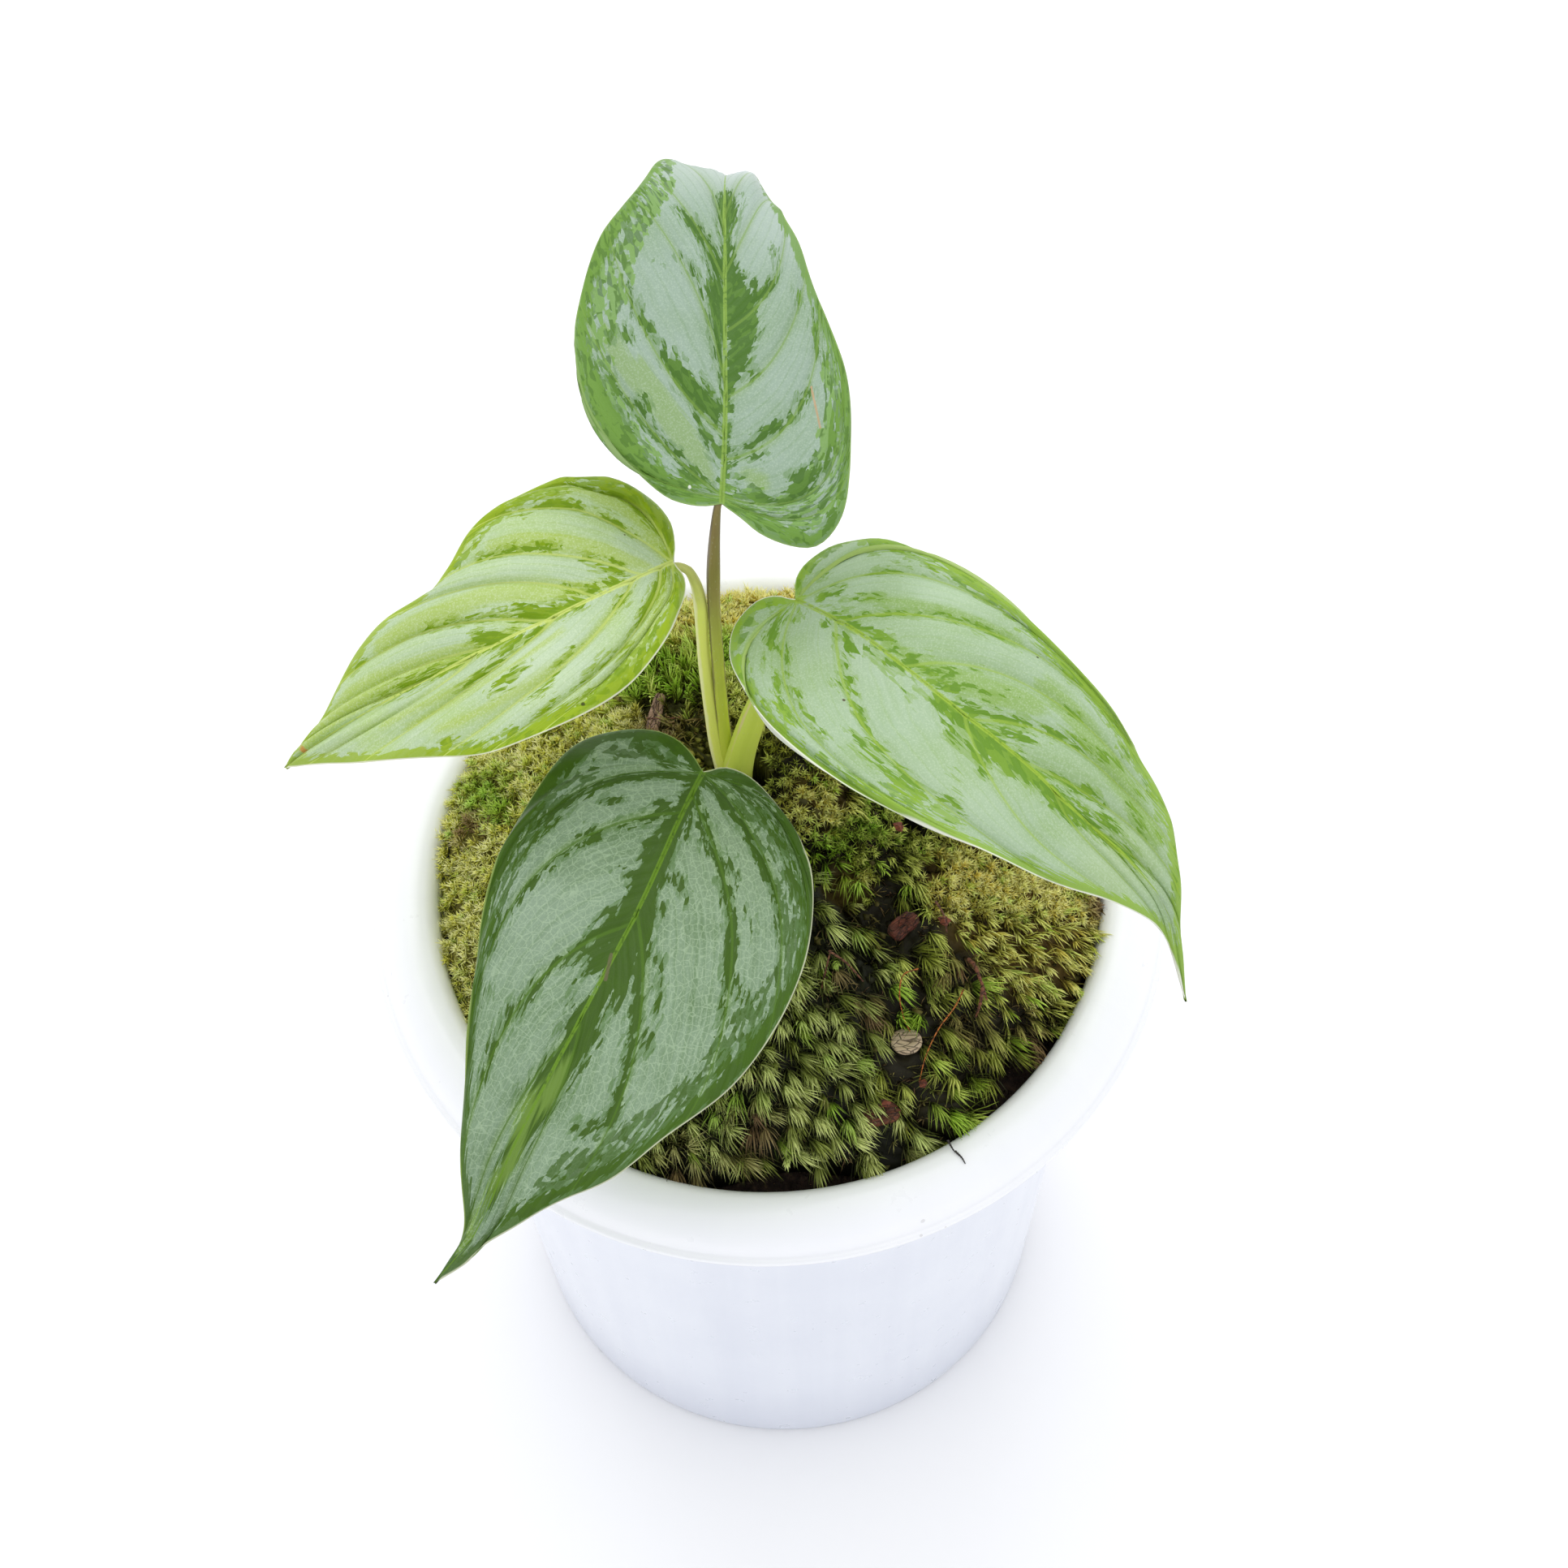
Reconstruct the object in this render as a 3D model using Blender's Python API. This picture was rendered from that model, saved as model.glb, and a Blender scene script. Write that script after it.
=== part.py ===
"""A potted philodendron: four leaves on stalks from one crown, set in soil and moss in a white pot.

Lengths are in metres and +Z is up. The origin is the middle of the pot's underside.
"""

import math
import random

import bmesh
import bpy
import numpy as np
from mathutils import Vector
from mathutils.bvhtree import BVHTree

MM = 0.001
SEAT_GAP = 0.3 * MM

POT_SIDES = 64
POT_BASE_RADIUS = 43.5 * MM
POT_TOP_RADIUS = 52.8 * MM
POT_RIM_RADIUS = 62.5 * MM
POT_MOUTH_RADIUS = 53.2 * MM
POT_HEIGHT = 124.8 * MM
POT_FLOOR = 3 * MM
POT_WALL = 1.5 * MM
RIM_UNDERSIDE = 113 * MM
RIM_BEAD_HEIGHT = 118.4 * MM

SOIL_SIDES = 60
SOIL_TOP = 113.9 * MM
SOIL_LUMP = 1.4 * MM

CROWN_AT = (-4.3 * MM, 13.2 * MM)
CROWN_RADIUS = 4.4 * MM
CROWN_FOOT = 98 * MM
CROWN_TOP = 137 * MM
HOLE_RADIUS = 4.75 * MM
MOSS_HOLE_RADIUS = 5.6 * MM

MOSS_UNDERSIDE = SOIL_TOP + SEAT_GAP
MOSS_EDGE_RADIUS = 50.9 * MM
MOSS_EDGE_HEIGHT = 117 * MM
MOSS_DOME = 14 * MM
MOSS_BACK_RISE = 9 * MM
MOSS_SEAM = 0.2 * MM
MOSS_RINGS = 14
MOSS_TUFT = (0.6 * MM, 2.4 * MM)
MOSS_DIP = (-0.9 * MM, 0.0)
SHOOT_SIDES = 4
SHOOT_ROOT = 1.6 * MM
SHOOT_RADIUS = 0.95 * MM
BIT_CLEARING = 4.5 * MM

# Where the moss draws back from the wall and bare soil shows: angle in degrees, half width, depth.
MOSS_BAYS = ((271, 15, 5.5 * MM), (318, 12, 5 * MM))

# name: (from, to) in degrees round the crown, cushion radius, cushion height, shoot length, lean, colour
MOSS_PATCHES = {
    "moss_left": ((132, 240), (3.5, 6.0), 3.2, (3.0, 4.4), 24, (0.33, 0.36, 0.08)),
    "moss_front": ((240, 300), (4.0, 7.0), 3.4, (5.0, 7.0), 48, (0.30, 0.33, 0.15)),
    "moss_right": ((300, 372), (4.0, 6.5), 3.6, (3.6, 5.2), 30, (0.38, 0.34, 0.09)),
    "moss_back": ((12, 132), (4.0, 6.5), 3.0, (3.6, 5.2), 30, (0.19, 0.22, 0.07)),
}
SHOOTS_PER_PATCH = 44

BLADE_ROWS = 24
BLADE_COLUMNS = 6
BLADE_BASAL_ROWS = 9
BLADE_BASAL_SPAN = 0.24
BLADE_VEIN_SWEEP = 1.65
BLADE_THICKNESS = 0.8 * MM
MIDRIB_KEEL = 0.9 * MM
MIDRIB_HALF_WIDTH = 1.2 * MM
VEIN_SINK = 0.3 * MM
VEIN_EVERY = 3
LEAF_ROUGHNESS = 0.4
VEIN_BOW = 38
VEIN_BOW_LESS = 24

# Outlines are in millimetres: first across the blade, then along it from the stalk to the tip.
# Across is positive to the right of someone at the stalk who looks to the tip.
LEAVES = {
    "leaf_back": {
        "midrib": (
            (-3.7, 22.6, 198), (-2.6, 34, 201.5), (-1.9, 48, 204.5), (-1.2, 63, 206.3),
            (-0.9, 73, 204.4), (-0.5, 80.5, 198.5), (0.3, 84, 188.5),
        ),
        "roll": (0, -3, -9),
        "fold": (10, 10),
        "cup": 4.0,
        "wave": (0.4, 5, 0.6),
        "left": (
            (0, 0), (-3.4, -0.6), (-7.5, 0.3), (-12, 3.5), (-16, 7.4), (-19.7, 13), (-21.6, 19.2),
            (-22.2, 26), (-20.6, 34), (-18, 40.6), (-14.5, 46.4), (-11.4, 52), (-9.8, 58), (-8.4, 63),
            (-4.6, 69), (0, 73.6),
        ),
        "right": (
            (0, 0), (2.4, -1.8), (6, -4.6), (10.4, -6.2), (14.2, -6.2), (17, -3.4), (18.4, 1), (18.6, 9),
            (18.2, 18), (15.6, 27), (12.3, 34), (9.6, 41), (7.2, 47), (5.4, 52), (4, 58),
            (2.8, 64), (1.4, 69), (0, 73.6),
        ),
        "colour": (0.17, 0.27, 0.13),
    },
    "leaf_left": {
        "midrib": (
            (-11.3, 21.3, 185), (-18, 17, 187), (-30, 11.5, 186.5), (-42.5, 8.5, 181.5),
            (-57, 6.5, 172), (-64.5, 5.5, 166), (-71, 5, 159),
        ),
        "roll": (0, 0),
        "fold": (8, 8),
        "cup": 6.0,
        "wave": (0.5, 4, 2.0),
        "left": (
            (0, 0), (-4, 0.8), (-8.4, 5.2), (-12.1, 8.8), (-15.4, 15.2), (-17.2, 22), (-17.5, 28.3),
            (-16.4, 35), (-13.6, 42), (-10.4, 50), (-7, 57), (-4.2, 62.4), (-2.2, 67), (0, 72),
        ),
        "right": (
            (0, 0), (2.6, -2), (6.8, -4), (11.5, -3.9), (16.6, -1.2), (20, 3.2), (21.6, 11), (21.5, 20),
            (19.8, 28.6), (15.8, 34.6), (13.5, 40), (13, 46.6), (10.6, 52.7), (7.3, 58), (3.7, 63),
            (1.8, 67.8), (0, 72),
        ),
        "colour": (0.32, 0.42, 0.15),
    },
    "leaf_right": {
        "midrib": (
            (6.3, 18, 178), (15.5, 9.2, 181.5), (27, -3.5, 183), (37.5, -13, 180.5),
            (45, -20, 176.5), (52.5, -25.5, 171), (57.5, -31, 165), (60, -38.3, 152),
        ),
        "roll": (0, 0),
        "fold": (8, 8),
        "cup": 5.0,
        "wave": (0.6, 5, 1.0),
        "left": (
            (0, 0), (-2.6, -2), (-6.4, -3), (-11, -2), (-14, 2), (-16, 8.4), (-17.4, 17), (-17.9, 27),
            (-17.6, 36), (-16, 45), (-14.3, 53), (-12.6, 61.4), (-8.8, 67), (-4.6, 72), (-1.8, 77.6),
            (-0.9, 84), (0, 91.5),
        ),
        "right": (
            (0, 0), (1.2, -2.6), (4, -4.6), (8.9, -4.4), (13.4, -1.2), (17, 4), (20.3, 12), (21.4, 20.5),
            (20.9, 28.6), (18.8, 36.4), (16.4, 45.8), (12.9, 54), (9.4, 62), (5.6, 70.6), (2.4, 76.6),
            (0.8, 82), (0, 91.5),
        ),
        "colour": (0.25, 0.37, 0.14),
    },
    "leaf_front": {
        "midrib": (
            (-8.7, -3, 165), (-12.4, -11.7, 167), (-19.5, -28, 168), (-29.5, -44.5, 163.5),
            (-39, -58.5, 155.5), (-44.5, -67, 148), (-51.5, -71.5, 140),
        ),
        "roll": (0, 0),
        "fold": (8, 8),
        "cup": 5.0,
        "wave": (0.6, 5, 0.2),
        "left": (
            (0, 0), (-2.6, -1.4), (-6.8, -1), (-11, 1.1), (-16, 5.4), (-21.2, 11.8), (-24.2, 19.2),
            (-26.4, 28), (-26.2, 36), (-24, 45.6), (-19.6, 54), (-15.6, 62), (-11.3, 67.6), (-6.4, 73.6),
            (-2.2, 79.6), (-1.2, 85), (0, 90.3),
        ),
        "right": (
            (0, 0), (2, -1.6), (5.6, -3.6), (10, -4.2), (14.6, -2.6), (18.6, 1.6), (21, 9.4), (22.4, 18),
            (22.4, 28), (20.6, 37.6), (17, 46), (13.6, 54.8), (9.2, 64.4), (5.4, 72), (2.6, 79), (1.1, 85),
            (0, 90.3),
        ),
        "colour": (0.12, 0.24, 0.14),
    },
}

# Stalks in millimetres: points from the crown to the blade, with the stalk's radius at each.
STALKS = {
    "leaf_back": (
        (-4.6, 13.6, 126, 1.8), (-5.0, 14.6, 134, 1.4), (-5.6, 16.8, 144, 1.1), (-5.8, 19.6, 162.5, 1.0),
        (-5.8, 21.2, 174, 0.95), (-5.3, 22.1, 186, 0.95), (-4.4, 23.2, 196.5, 1.0),
    ),
    "leaf_left": (
        (-5.2, 13.8, 126, 1.8), (-5.8, 14.6, 134, 1.5), (-7.0, 16.7, 142, 1.2), (-7.8, 20, 159, 1.05),
        (-7.9, 21.5, 174, 1.05), (-9.0, 21.5, 181.6, 1.0), (-10.6, 21.6, 183.5, 1.0),
    ),
    "leaf_right": (
        (-4.4, 13.4, 126, 2.6), (-4.0, 13.8, 134, 2.5), (-2.6, 14.5, 142, 2.2), (-0.7, 15.2, 150, 1.9),
        (2.6, 16.6, 163, 1.4), (6.0, 18.0, 176.35, 1.2),
    ),
    "leaf_front": (
        (-4.8, 13.0, 126, 1.8), (-5.0, 11.8, 134, 1.6), (-5.4, 7.8, 143, 1.4), (-6.4, 2.8, 153, 1.2),
        (-8.3, -2.6, 163.45, 1.2),
    ),
}
STALK_SIDES = 10
STALK_RINGS = 14

# Loose bits on the moss, in millimetres: place, size along and across, thickness,
# turn in degrees, corners, colour.
LOOSE_BITS = {
    "bark_chip_back": ((20.5, -13.5), (6.0, 3.6), 1.5, 40, 6, (0.20, 0.08, 0.04)),
    "bark_chip_front": ((15.0, -42.0), (6.5, 4.0), 1.6, 10, 6, (0.17, 0.07, 0.04)),
    "seed_disc": ((19.6, -31.5), (5.0, 4.6), 0.9, 0, 14, (0.55, 0.40, 0.24)),
    "bark_strip": ((-16.0, 25.5), (9.0, 2.6), 1.2, 75, 6, (0.42, 0.24, 0.18)),
}


def clear_scene():
    """Removes whatever the scene holds at the start."""
    for thing in list(bpy.data.objects):
        bpy.data.objects.remove(thing, do_unlink=True)


def plain_material(name, colour, roughness, metallic=0.0):
    material = bpy.data.materials.new(name)
    material.use_nodes = True
    shader = material.node_tree.nodes["Principled BSDF"]
    shader.inputs["Base Color"].default_value = (*colour, 1.0)
    shader.inputs["Roughness"].default_value = roughness
    shader.inputs["Metallic"].default_value = metallic
    return material


def solid(name, points, faces, material, smooth):
    mesh = bpy.data.meshes.new(name)
    mesh.from_pydata([tuple(map(float, p)) for p in points], [], [tuple(map(int, f)) for f in faces])
    body = bmesh.new()
    body.from_mesh(mesh)
    bmesh.ops.recalc_face_normals(body, faces=body.faces)
    body.to_mesh(mesh)
    body.free()
    mesh.materials.append(material)
    for polygon in mesh.polygons:
        polygon.use_smooth = smooth
    thing = bpy.data.objects.new(name, mesh)
    bpy.context.scene.collection.objects.link(thing)
    return thing


def smooth_curve(points, count):
    """Evenly spaced places along a smooth curve through the points, and their distance along it."""
    points = np.array(points, float)
    ends = np.vstack([2 * points[0] - points[1], points, 2 * points[-1] - points[-2]])
    steps = np.linspace(0, 1, 40, endpoint=False)[:, None]
    pieces = []
    for first, start, end, last in zip(ends, ends[1:], ends[2:], ends[3:]):
        slope = (end - first) / 2
        bend = first - 2.5 * start + 2 * end - last / 2
        twist = (3 * start - first - 3 * end + last) / 2
        pieces.append(start + slope * steps + bend * steps**2 + twist * steps**3)
    dense = np.vstack([*pieces, points[-1:]])
    along = np.r_[0, np.cumsum(np.linalg.norm(np.diff(dense, axis=0), axis=1))]
    even = np.linspace(0, along[-1], count)
    places = np.stack([np.interp(even, along, column) for column in dense.T], axis=1)
    return even, places


def turned_body(name, profile, sides, material):
    """A closed ring of profile points turned round the Z axis, with its two ends on the axis."""
    points = []
    for radius, height in profile[1:-1]:
        for side in range(sides):
            angle = math.tau * side / sides
            points.append((radius * math.cos(angle), radius * math.sin(angle), height))
    first = len(points)
    points.append((0, 0, profile[0][1]))
    points.append((0, 0, profile[-1][1]))
    faces = []
    rings = len(profile) - 2
    for side in range(sides):
        after = (side + 1) % sides
        faces.append((first, after, side))
        for ring in range(rings - 1):
            low, high = ring * sides, (ring + 1) * sides
            faces.append((low + side, low + after, high + after, high + side))
        top = (rings - 1) * sides
        faces.append((first + 1, top + side, top + after))
    return solid(name, points, faces, material, True)


def make_pot():
    """Outside from the base up and over the rolled rim, then down the inner wall to the floor."""
    inner_foot = POT_BASE_RADIUS - POT_WALL + 0.2 * MM
    profile = (
        (0, 0),
        (POT_BASE_RADIUS - 1.4 * MM, 0),
        (POT_BASE_RADIUS - 0.4 * MM, 0.5 * MM),
        (POT_BASE_RADIUS, 1.6 * MM),
        (POT_TOP_RADIUS, RIM_UNDERSIDE),
        (POT_TOP_RADIUS + 1.5 * MM, RIM_UNDERSIDE + 0.9 * MM),
        (POT_RIM_RADIUS - 1.6 * MM, RIM_BEAD_HEIGHT - 1.5 * MM),
        (POT_RIM_RADIUS, RIM_BEAD_HEIGHT),
        (POT_RIM_RADIUS - 1.2 * MM, RIM_BEAD_HEIGHT + 1.6 * MM),
        (POT_RIM_RADIUS - 2.1 * MM, RIM_BEAD_HEIGHT + 3.4 * MM),
        (POT_RIM_RADIUS - 3.8 * MM, POT_HEIGHT - 1.0 * MM),
        (POT_RIM_RADIUS - 5.6 * MM, POT_HEIGHT),
        (POT_MOUTH_RADIUS + 1.2 * MM, POT_HEIGHT - 0.2 * MM),
        (POT_MOUTH_RADIUS, POT_HEIGHT - 0.9 * MM),
        (POT_TOP_RADIUS - POT_WALL + 0.5 * MM, POT_HEIGHT - 3.4 * MM),
        (POT_TOP_RADIUS - POT_WALL, RIM_UNDERSIDE),
        (inner_foot, POT_FLOOR + 1.5 * MM),
        (inner_foot - 1.5 * MM, POT_FLOOR),
        (0, POT_FLOOR),
    )
    turned_body("pot", profile, POT_SIDES, plain_material("white_pot", (0.80, 0.80, 0.83), 0.3))


def reach(angle, radius):
    """How far it is from the crown to a circle round the pot's axis, in this direction."""
    across = CROWN_AT[0] * math.cos(angle) + CROWN_AT[1] * math.sin(angle)
    apart = CROWN_AT[0] ** 2 + CROWN_AT[1] ** 2
    return -across + math.sqrt(across**2 - apart + radius**2)


def make_soil():
    """Soil that fills the pot, its lumpy top in rings round the plain hole that the crown stands in."""
    random.seed(5)
    lowest_radius = POT_BASE_RADIUS - POT_WALL - 0.4 * MM
    top_radius = POT_TOP_RADIUS - POT_WALL - SEAT_GAP
    levels = [(CROWN_FOOT, 0.0), (SOIL_TOP - SOIL_LUMP, 0.0)]
    levels += [(SOIL_TOP, share) for share in (0.2, 0.4, 0.6, 0.8, 1.0)]
    points, faces = [], []
    for height, share in levels:
        for side in range(SOIL_SIDES):
            angle = math.tau * side / SOIL_SIDES
            far = reach(angle, top_radius)
            out = HOLE_RADIUS + share * (far - HOLE_RADIUS)
            drop = random.random() * SOIL_LUMP if height == SOIL_TOP else 0.0
            x = CROWN_AT[0] + out * math.cos(angle)
            y = CROWN_AT[1] + out * math.sin(angle)
            points.append((x, y, height - drop))
    foot = (
        (lowest_radius + 0.1 * MM, POT_FLOOR + 2.2 * MM),
        (lowest_radius - 1.5 * MM, POT_FLOOR + SEAT_GAP),
    )
    for radius, height in foot:
        for side in range(SOIL_SIDES):
            angle = math.tau * side / SOIL_SIDES
            far = reach(angle, radius)
            points.append((CROWN_AT[0] + far * math.cos(angle), CROWN_AT[1] + far * math.sin(angle), height))
    rings = len(points) // SOIL_SIDES
    for ring in range(rings - 1):
        for side in range(SOIL_SIDES):
            after = (side + 1) % SOIL_SIDES
            low, high = ring * SOIL_SIDES, (ring + 1) * SOIL_SIDES
            faces.append((low + side, low + after, high + after))
            faces.append((low + side, high + after, high + side))
    faces.append(tuple(range(SOIL_SIDES)))
    faces.append(tuple((rings - 1) * SOIL_SIDES + side for side in range(SOIL_SIDES)))
    solid("soil", points, faces, plain_material("dark_soil", (0.05, 0.035, 0.025), 0.95), False)


def moss_edge(angle):
    """The moss's outer radius in a direction from the pot's axis, drawn back where soil shows."""
    radius = MOSS_EDGE_RADIUS
    for middle, half_width, depth in MOSS_BAYS:
        off = (math.degrees(angle) - middle + 180) % 360 - 180
        radius -= depth * math.exp(-((off / half_width) ** 2))
    return radius


def moss_reach(angle):
    """How far the moss goes out from the crown in this direction."""
    out = reach(angle, MOSS_EDGE_RADIUS)
    for _ in range(3):
        x = CROWN_AT[0] + out * math.cos(angle)
        y = CROWN_AT[1] + out * math.sin(angle)
        out = reach(angle, moss_edge(math.atan2(y, x)))
    return out


def moss_dome(x, y):
    distance = math.hypot(x, y) / MOSS_EDGE_RADIUS
    back = max(0.0, y / MOSS_EDGE_RADIUS)
    return MOSS_EDGE_HEIGHT + MOSS_DOME * (1 - distance**2) + MOSS_BACK_RISE * back * (2 - back) / 2


def seam_turn(share):
    """A border between two patches of moss wanders a little on its way out."""
    return 0.12 * math.sin(5.5 * share) + 0.05 * math.sin(13 * share + 1)


def moss_place(angle_from, angle_to, across, share):
    """A place in a patch: across runs from one border to the other, share from the crown to the wall."""
    angle = angle_from + across * (angle_to - angle_from) + seam_turn(share)
    out = MOSS_HOLE_RADIUS + share * (moss_reach(angle) - MOSS_HOLE_RADIUS)
    x = CROWN_AT[0] + out * math.cos(angle)
    y = CROWN_AT[1] + out * math.sin(angle)
    if across in (0.0, 1.0):
        side = MOSS_SEAM if across == 0.0 else -MOSS_SEAM
        x -= side * math.sin(angle)
        y += side * math.cos(angle)
    return x, y


def moss_height(x, y, cushions):
    """The dome, with the cushions that stand on it and meet in creases."""
    height = 0.0
    for centre_x, centre_y, radius, tall in cushions:
        off = math.hypot(x - centre_x, y - centre_y) / radius
        if off < 1:
            height = max(height, tall * math.sqrt(1 - off * off))
    return moss_dome(x, y) + height


def moss_cushions(angle_from, angle_to, radii, tall):
    cushions = []
    for _ in range(90):
        x, y = moss_place(angle_from, angle_to, random.uniform(0.02, 0.98), random.uniform(0.05, 0.97) ** 0.7)
        cushions.append((x, y, random.uniform(*radii) * MM, tall * random.uniform(0.7, 1.25) * MM))
    return cushions


def moss_sheet(name, angles, cushions, material):
    """The relief of one patch, with walls down to a flat underside."""
    columns = max(12, round(math.degrees(angles[1] - angles[0]) / 5.6))
    points, faces = [], []
    for ring in range(MOSS_RINGS + 1):
        for column in range(columns + 1):
            x, y = moss_place(*angles, column / columns, ring / MOSS_RINGS)
            at_rim = ring in (0, MOSS_RINGS) or column in (0, columns)
            tuft = random.uniform(*MOSS_TUFT) if (ring + column) % 2 else random.uniform(*MOSS_DIP)
            rough = 0.0 if at_rim else tuft
            points.append((x, y, moss_height(x, y, cushions) + rough))
    wide = columns + 1
    for ring in range(MOSS_RINGS):
        for column in range(columns):
            start = ring * wide + column
            faces.append((start, start + 1, start + wide + 1))
            faces.append((start, start + wide + 1, start + wide))
    border = [column for column in range(columns)]
    border += [ring * wide + columns for ring in range(MOSS_RINGS)]
    border += [MOSS_RINGS * wide + column for column in range(columns, 0, -1)]
    border += [ring * wide for ring in range(MOSS_RINGS, 0, -1)]
    under = len(points)
    for corner in border:
        points.append((points[corner][0], points[corner][1], MOSS_UNDERSIDE))
    for step, corner in enumerate(border):
        after = (step + 1) % len(border)
        faces.append((corner, border[after], under + after, under + step))
    faces.append(tuple(range(under, under + len(border))))
    return solid(name, points, faces, material, False)


def moss_shoot(name, foot, direction, length, material):
    """One pointed shoot, larger than life, rooted in the cushion and bent over at half its length."""
    lean = np.array(direction)
    across = np.cross(lean, (0.3, 0.5, 0.8))
    across /= np.linalg.norm(across)
    other = np.cross(lean, across)
    foot = np.array(foot)
    bend = foot + lean * (SHOOT_ROOT + length * 0.55)
    tip = bend + (lean * 0.75 + np.array((lean[0], lean[1], -0.25)) * 0.6) * length * 0.45
    points = []
    for place, radius in ((foot - lean * SHOOT_ROOT, SHOOT_RADIUS), (bend, SHOOT_RADIUS * 0.65)):
        for side in range(SHOOT_SIDES):
            turn = math.tau * side / SHOOT_SIDES
            points.append(place + radius * (across * math.cos(turn) + other * math.sin(turn)))
    points.append(tip)
    faces = [tuple(range(SHOOT_SIDES))]
    for side in range(SHOOT_SIDES):
        after = (side + 1) % SHOOT_SIDES
        faces.append((side, after, SHOOT_SIDES + after, SHOOT_SIDES + side))
        faces.append((SHOOT_SIDES + side, SHOOT_SIDES + after, 2 * SHOOT_SIDES))
    return solid(name, points, faces, material, False)


def fuse(thing, others, solver):
    """Joins the others to the thing as one body and removes them."""
    group = bpy.data.collections.new(thing.name + "_fused")
    bpy.context.scene.collection.children.link(group)
    for other in others:
        bpy.context.scene.collection.objects.unlink(other)
        group.objects.link(other)
    join = thing.modifiers.new("join", "BOOLEAN")
    join.operation = "UNION"
    join.operand_type = "COLLECTION"
    join.collection = group
    join.solver = solver
    bpy.context.view_layer.update()
    graph = bpy.context.evaluated_depsgraph_get()
    joined = bpy.data.meshes.new_from_object(thing.evaluated_get(graph))
    thing.modifiers.clear()
    thing.data = joined
    for other in others:
        bpy.data.objects.remove(other, do_unlink=True)
    bpy.data.collections.remove(group)


def under_a_bit(x, y):
    """True where one of the loose bits lies, so that no shoot stands through it."""
    for place, size, *_ in LOOSE_BITS.values():
        if math.hypot(x - place[0] * MM, y - place[1] * MM) < size[0] / 2 * MM + BIT_CLEARING:
            return True
    return False


def make_moss():
    """All patches: the sheet of each, with its shoots fused in."""
    patches = []
    for number, (name, (angles, radii, tall, lengths, lean, colour)) in enumerate(MOSS_PATCHES.items()):
        random.seed(20 + number)
        material = plain_material(name + "_green", colour, 0.9)
        angles = tuple(math.radians(angle) for angle in angles)
        cushions = moss_cushions(*angles, radii, tall)
        sheet = moss_sheet(name, angles, cushions, material)
        shoots = []
        while len(shoots) < SHOOTS_PER_PATCH:
            x, y = moss_place(*angles, random.uniform(0.1, 0.9), random.uniform(0.15, 0.88))
            if under_a_bit(x, y):
                continue
            tilt = math.radians(lean * random.uniform(0.4, 1.0))
            turn = random.uniform(0, math.tau)
            direction = (math.sin(tilt) * math.cos(turn), math.sin(tilt) * math.sin(turn), math.cos(tilt))
            length = random.uniform(*lengths) * MM
            foot = (x, y, moss_height(x, y, cushions))
            shoots.append(moss_shoot(f"shoot_{len(shoots)}", foot, direction, length, material))
        fuse(sheet, shoots, "MANIFOLD")
        patches.append(sheet)
    return patches


def tube(name, places, radii, sides, material):
    """A round stalk along the places, closed at both ends."""
    places = np.array(places, float)
    slopes = np.gradient(places, axis=0)
    slopes /= np.linalg.norm(slopes, axis=1, keepdims=True)
    across = np.cross(slopes[0], (1.0, 0.2, 0.1))
    points = []
    for place, slope, radius in zip(places, slopes, radii):
        across = across - slope * np.dot(across, slope)
        across /= np.linalg.norm(across)
        other = np.cross(slope, across)
        for side in range(sides):
            turn = math.tau * side / sides
            points.append(place + radius * (across * math.cos(turn) + other * math.sin(turn)))
    faces = [tuple(range(sides)), tuple(len(points) - 1 - side for side in range(sides))]
    for ring in range(len(places) - 1):
        for side in range(sides):
            after = (side + 1) % sides
            low, high = ring * sides, (ring + 1) * sides
            faces.append((low + side, low + after, high + after, high + side))
    return solid(name, points, faces, material, True)


def make_stems():
    """The crown, which stands in the soil's hole, and the four stalks that grow out of it."""
    material = plain_material("stalk_green", (0.34, 0.36, 0.14), 0.45)
    levels = (
        (CROWN_FOOT + SEAT_GAP, 0.8), (CROWN_FOOT + 3 * MM, 1.0), (SOIL_TOP + 4 * MM, 1.0),
        (CROWN_TOP - 9 * MM, 0.8), (CROWN_TOP, 0.4),
    )
    places = [(*CROWN_AT, height) for height, _ in levels]
    radii = [CROWN_RADIUS * share for _, share in levels]
    crown = tube("stems", places, radii, 14, material)
    stalks = []
    for name, path in STALKS.items():
        _, spine = smooth_curve([point[:3] for point in path], STALK_RINGS)
        _, widths = smooth_curve([(index, point[3], 0) for index, point in enumerate(path)], STALK_RINGS)
        stalks.append(tube("stalk_" + name, spine * MM, widths[:, 1] * MM, STALK_SIDES, material))
    fuse(crown, stalks, "EXACT")


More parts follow.
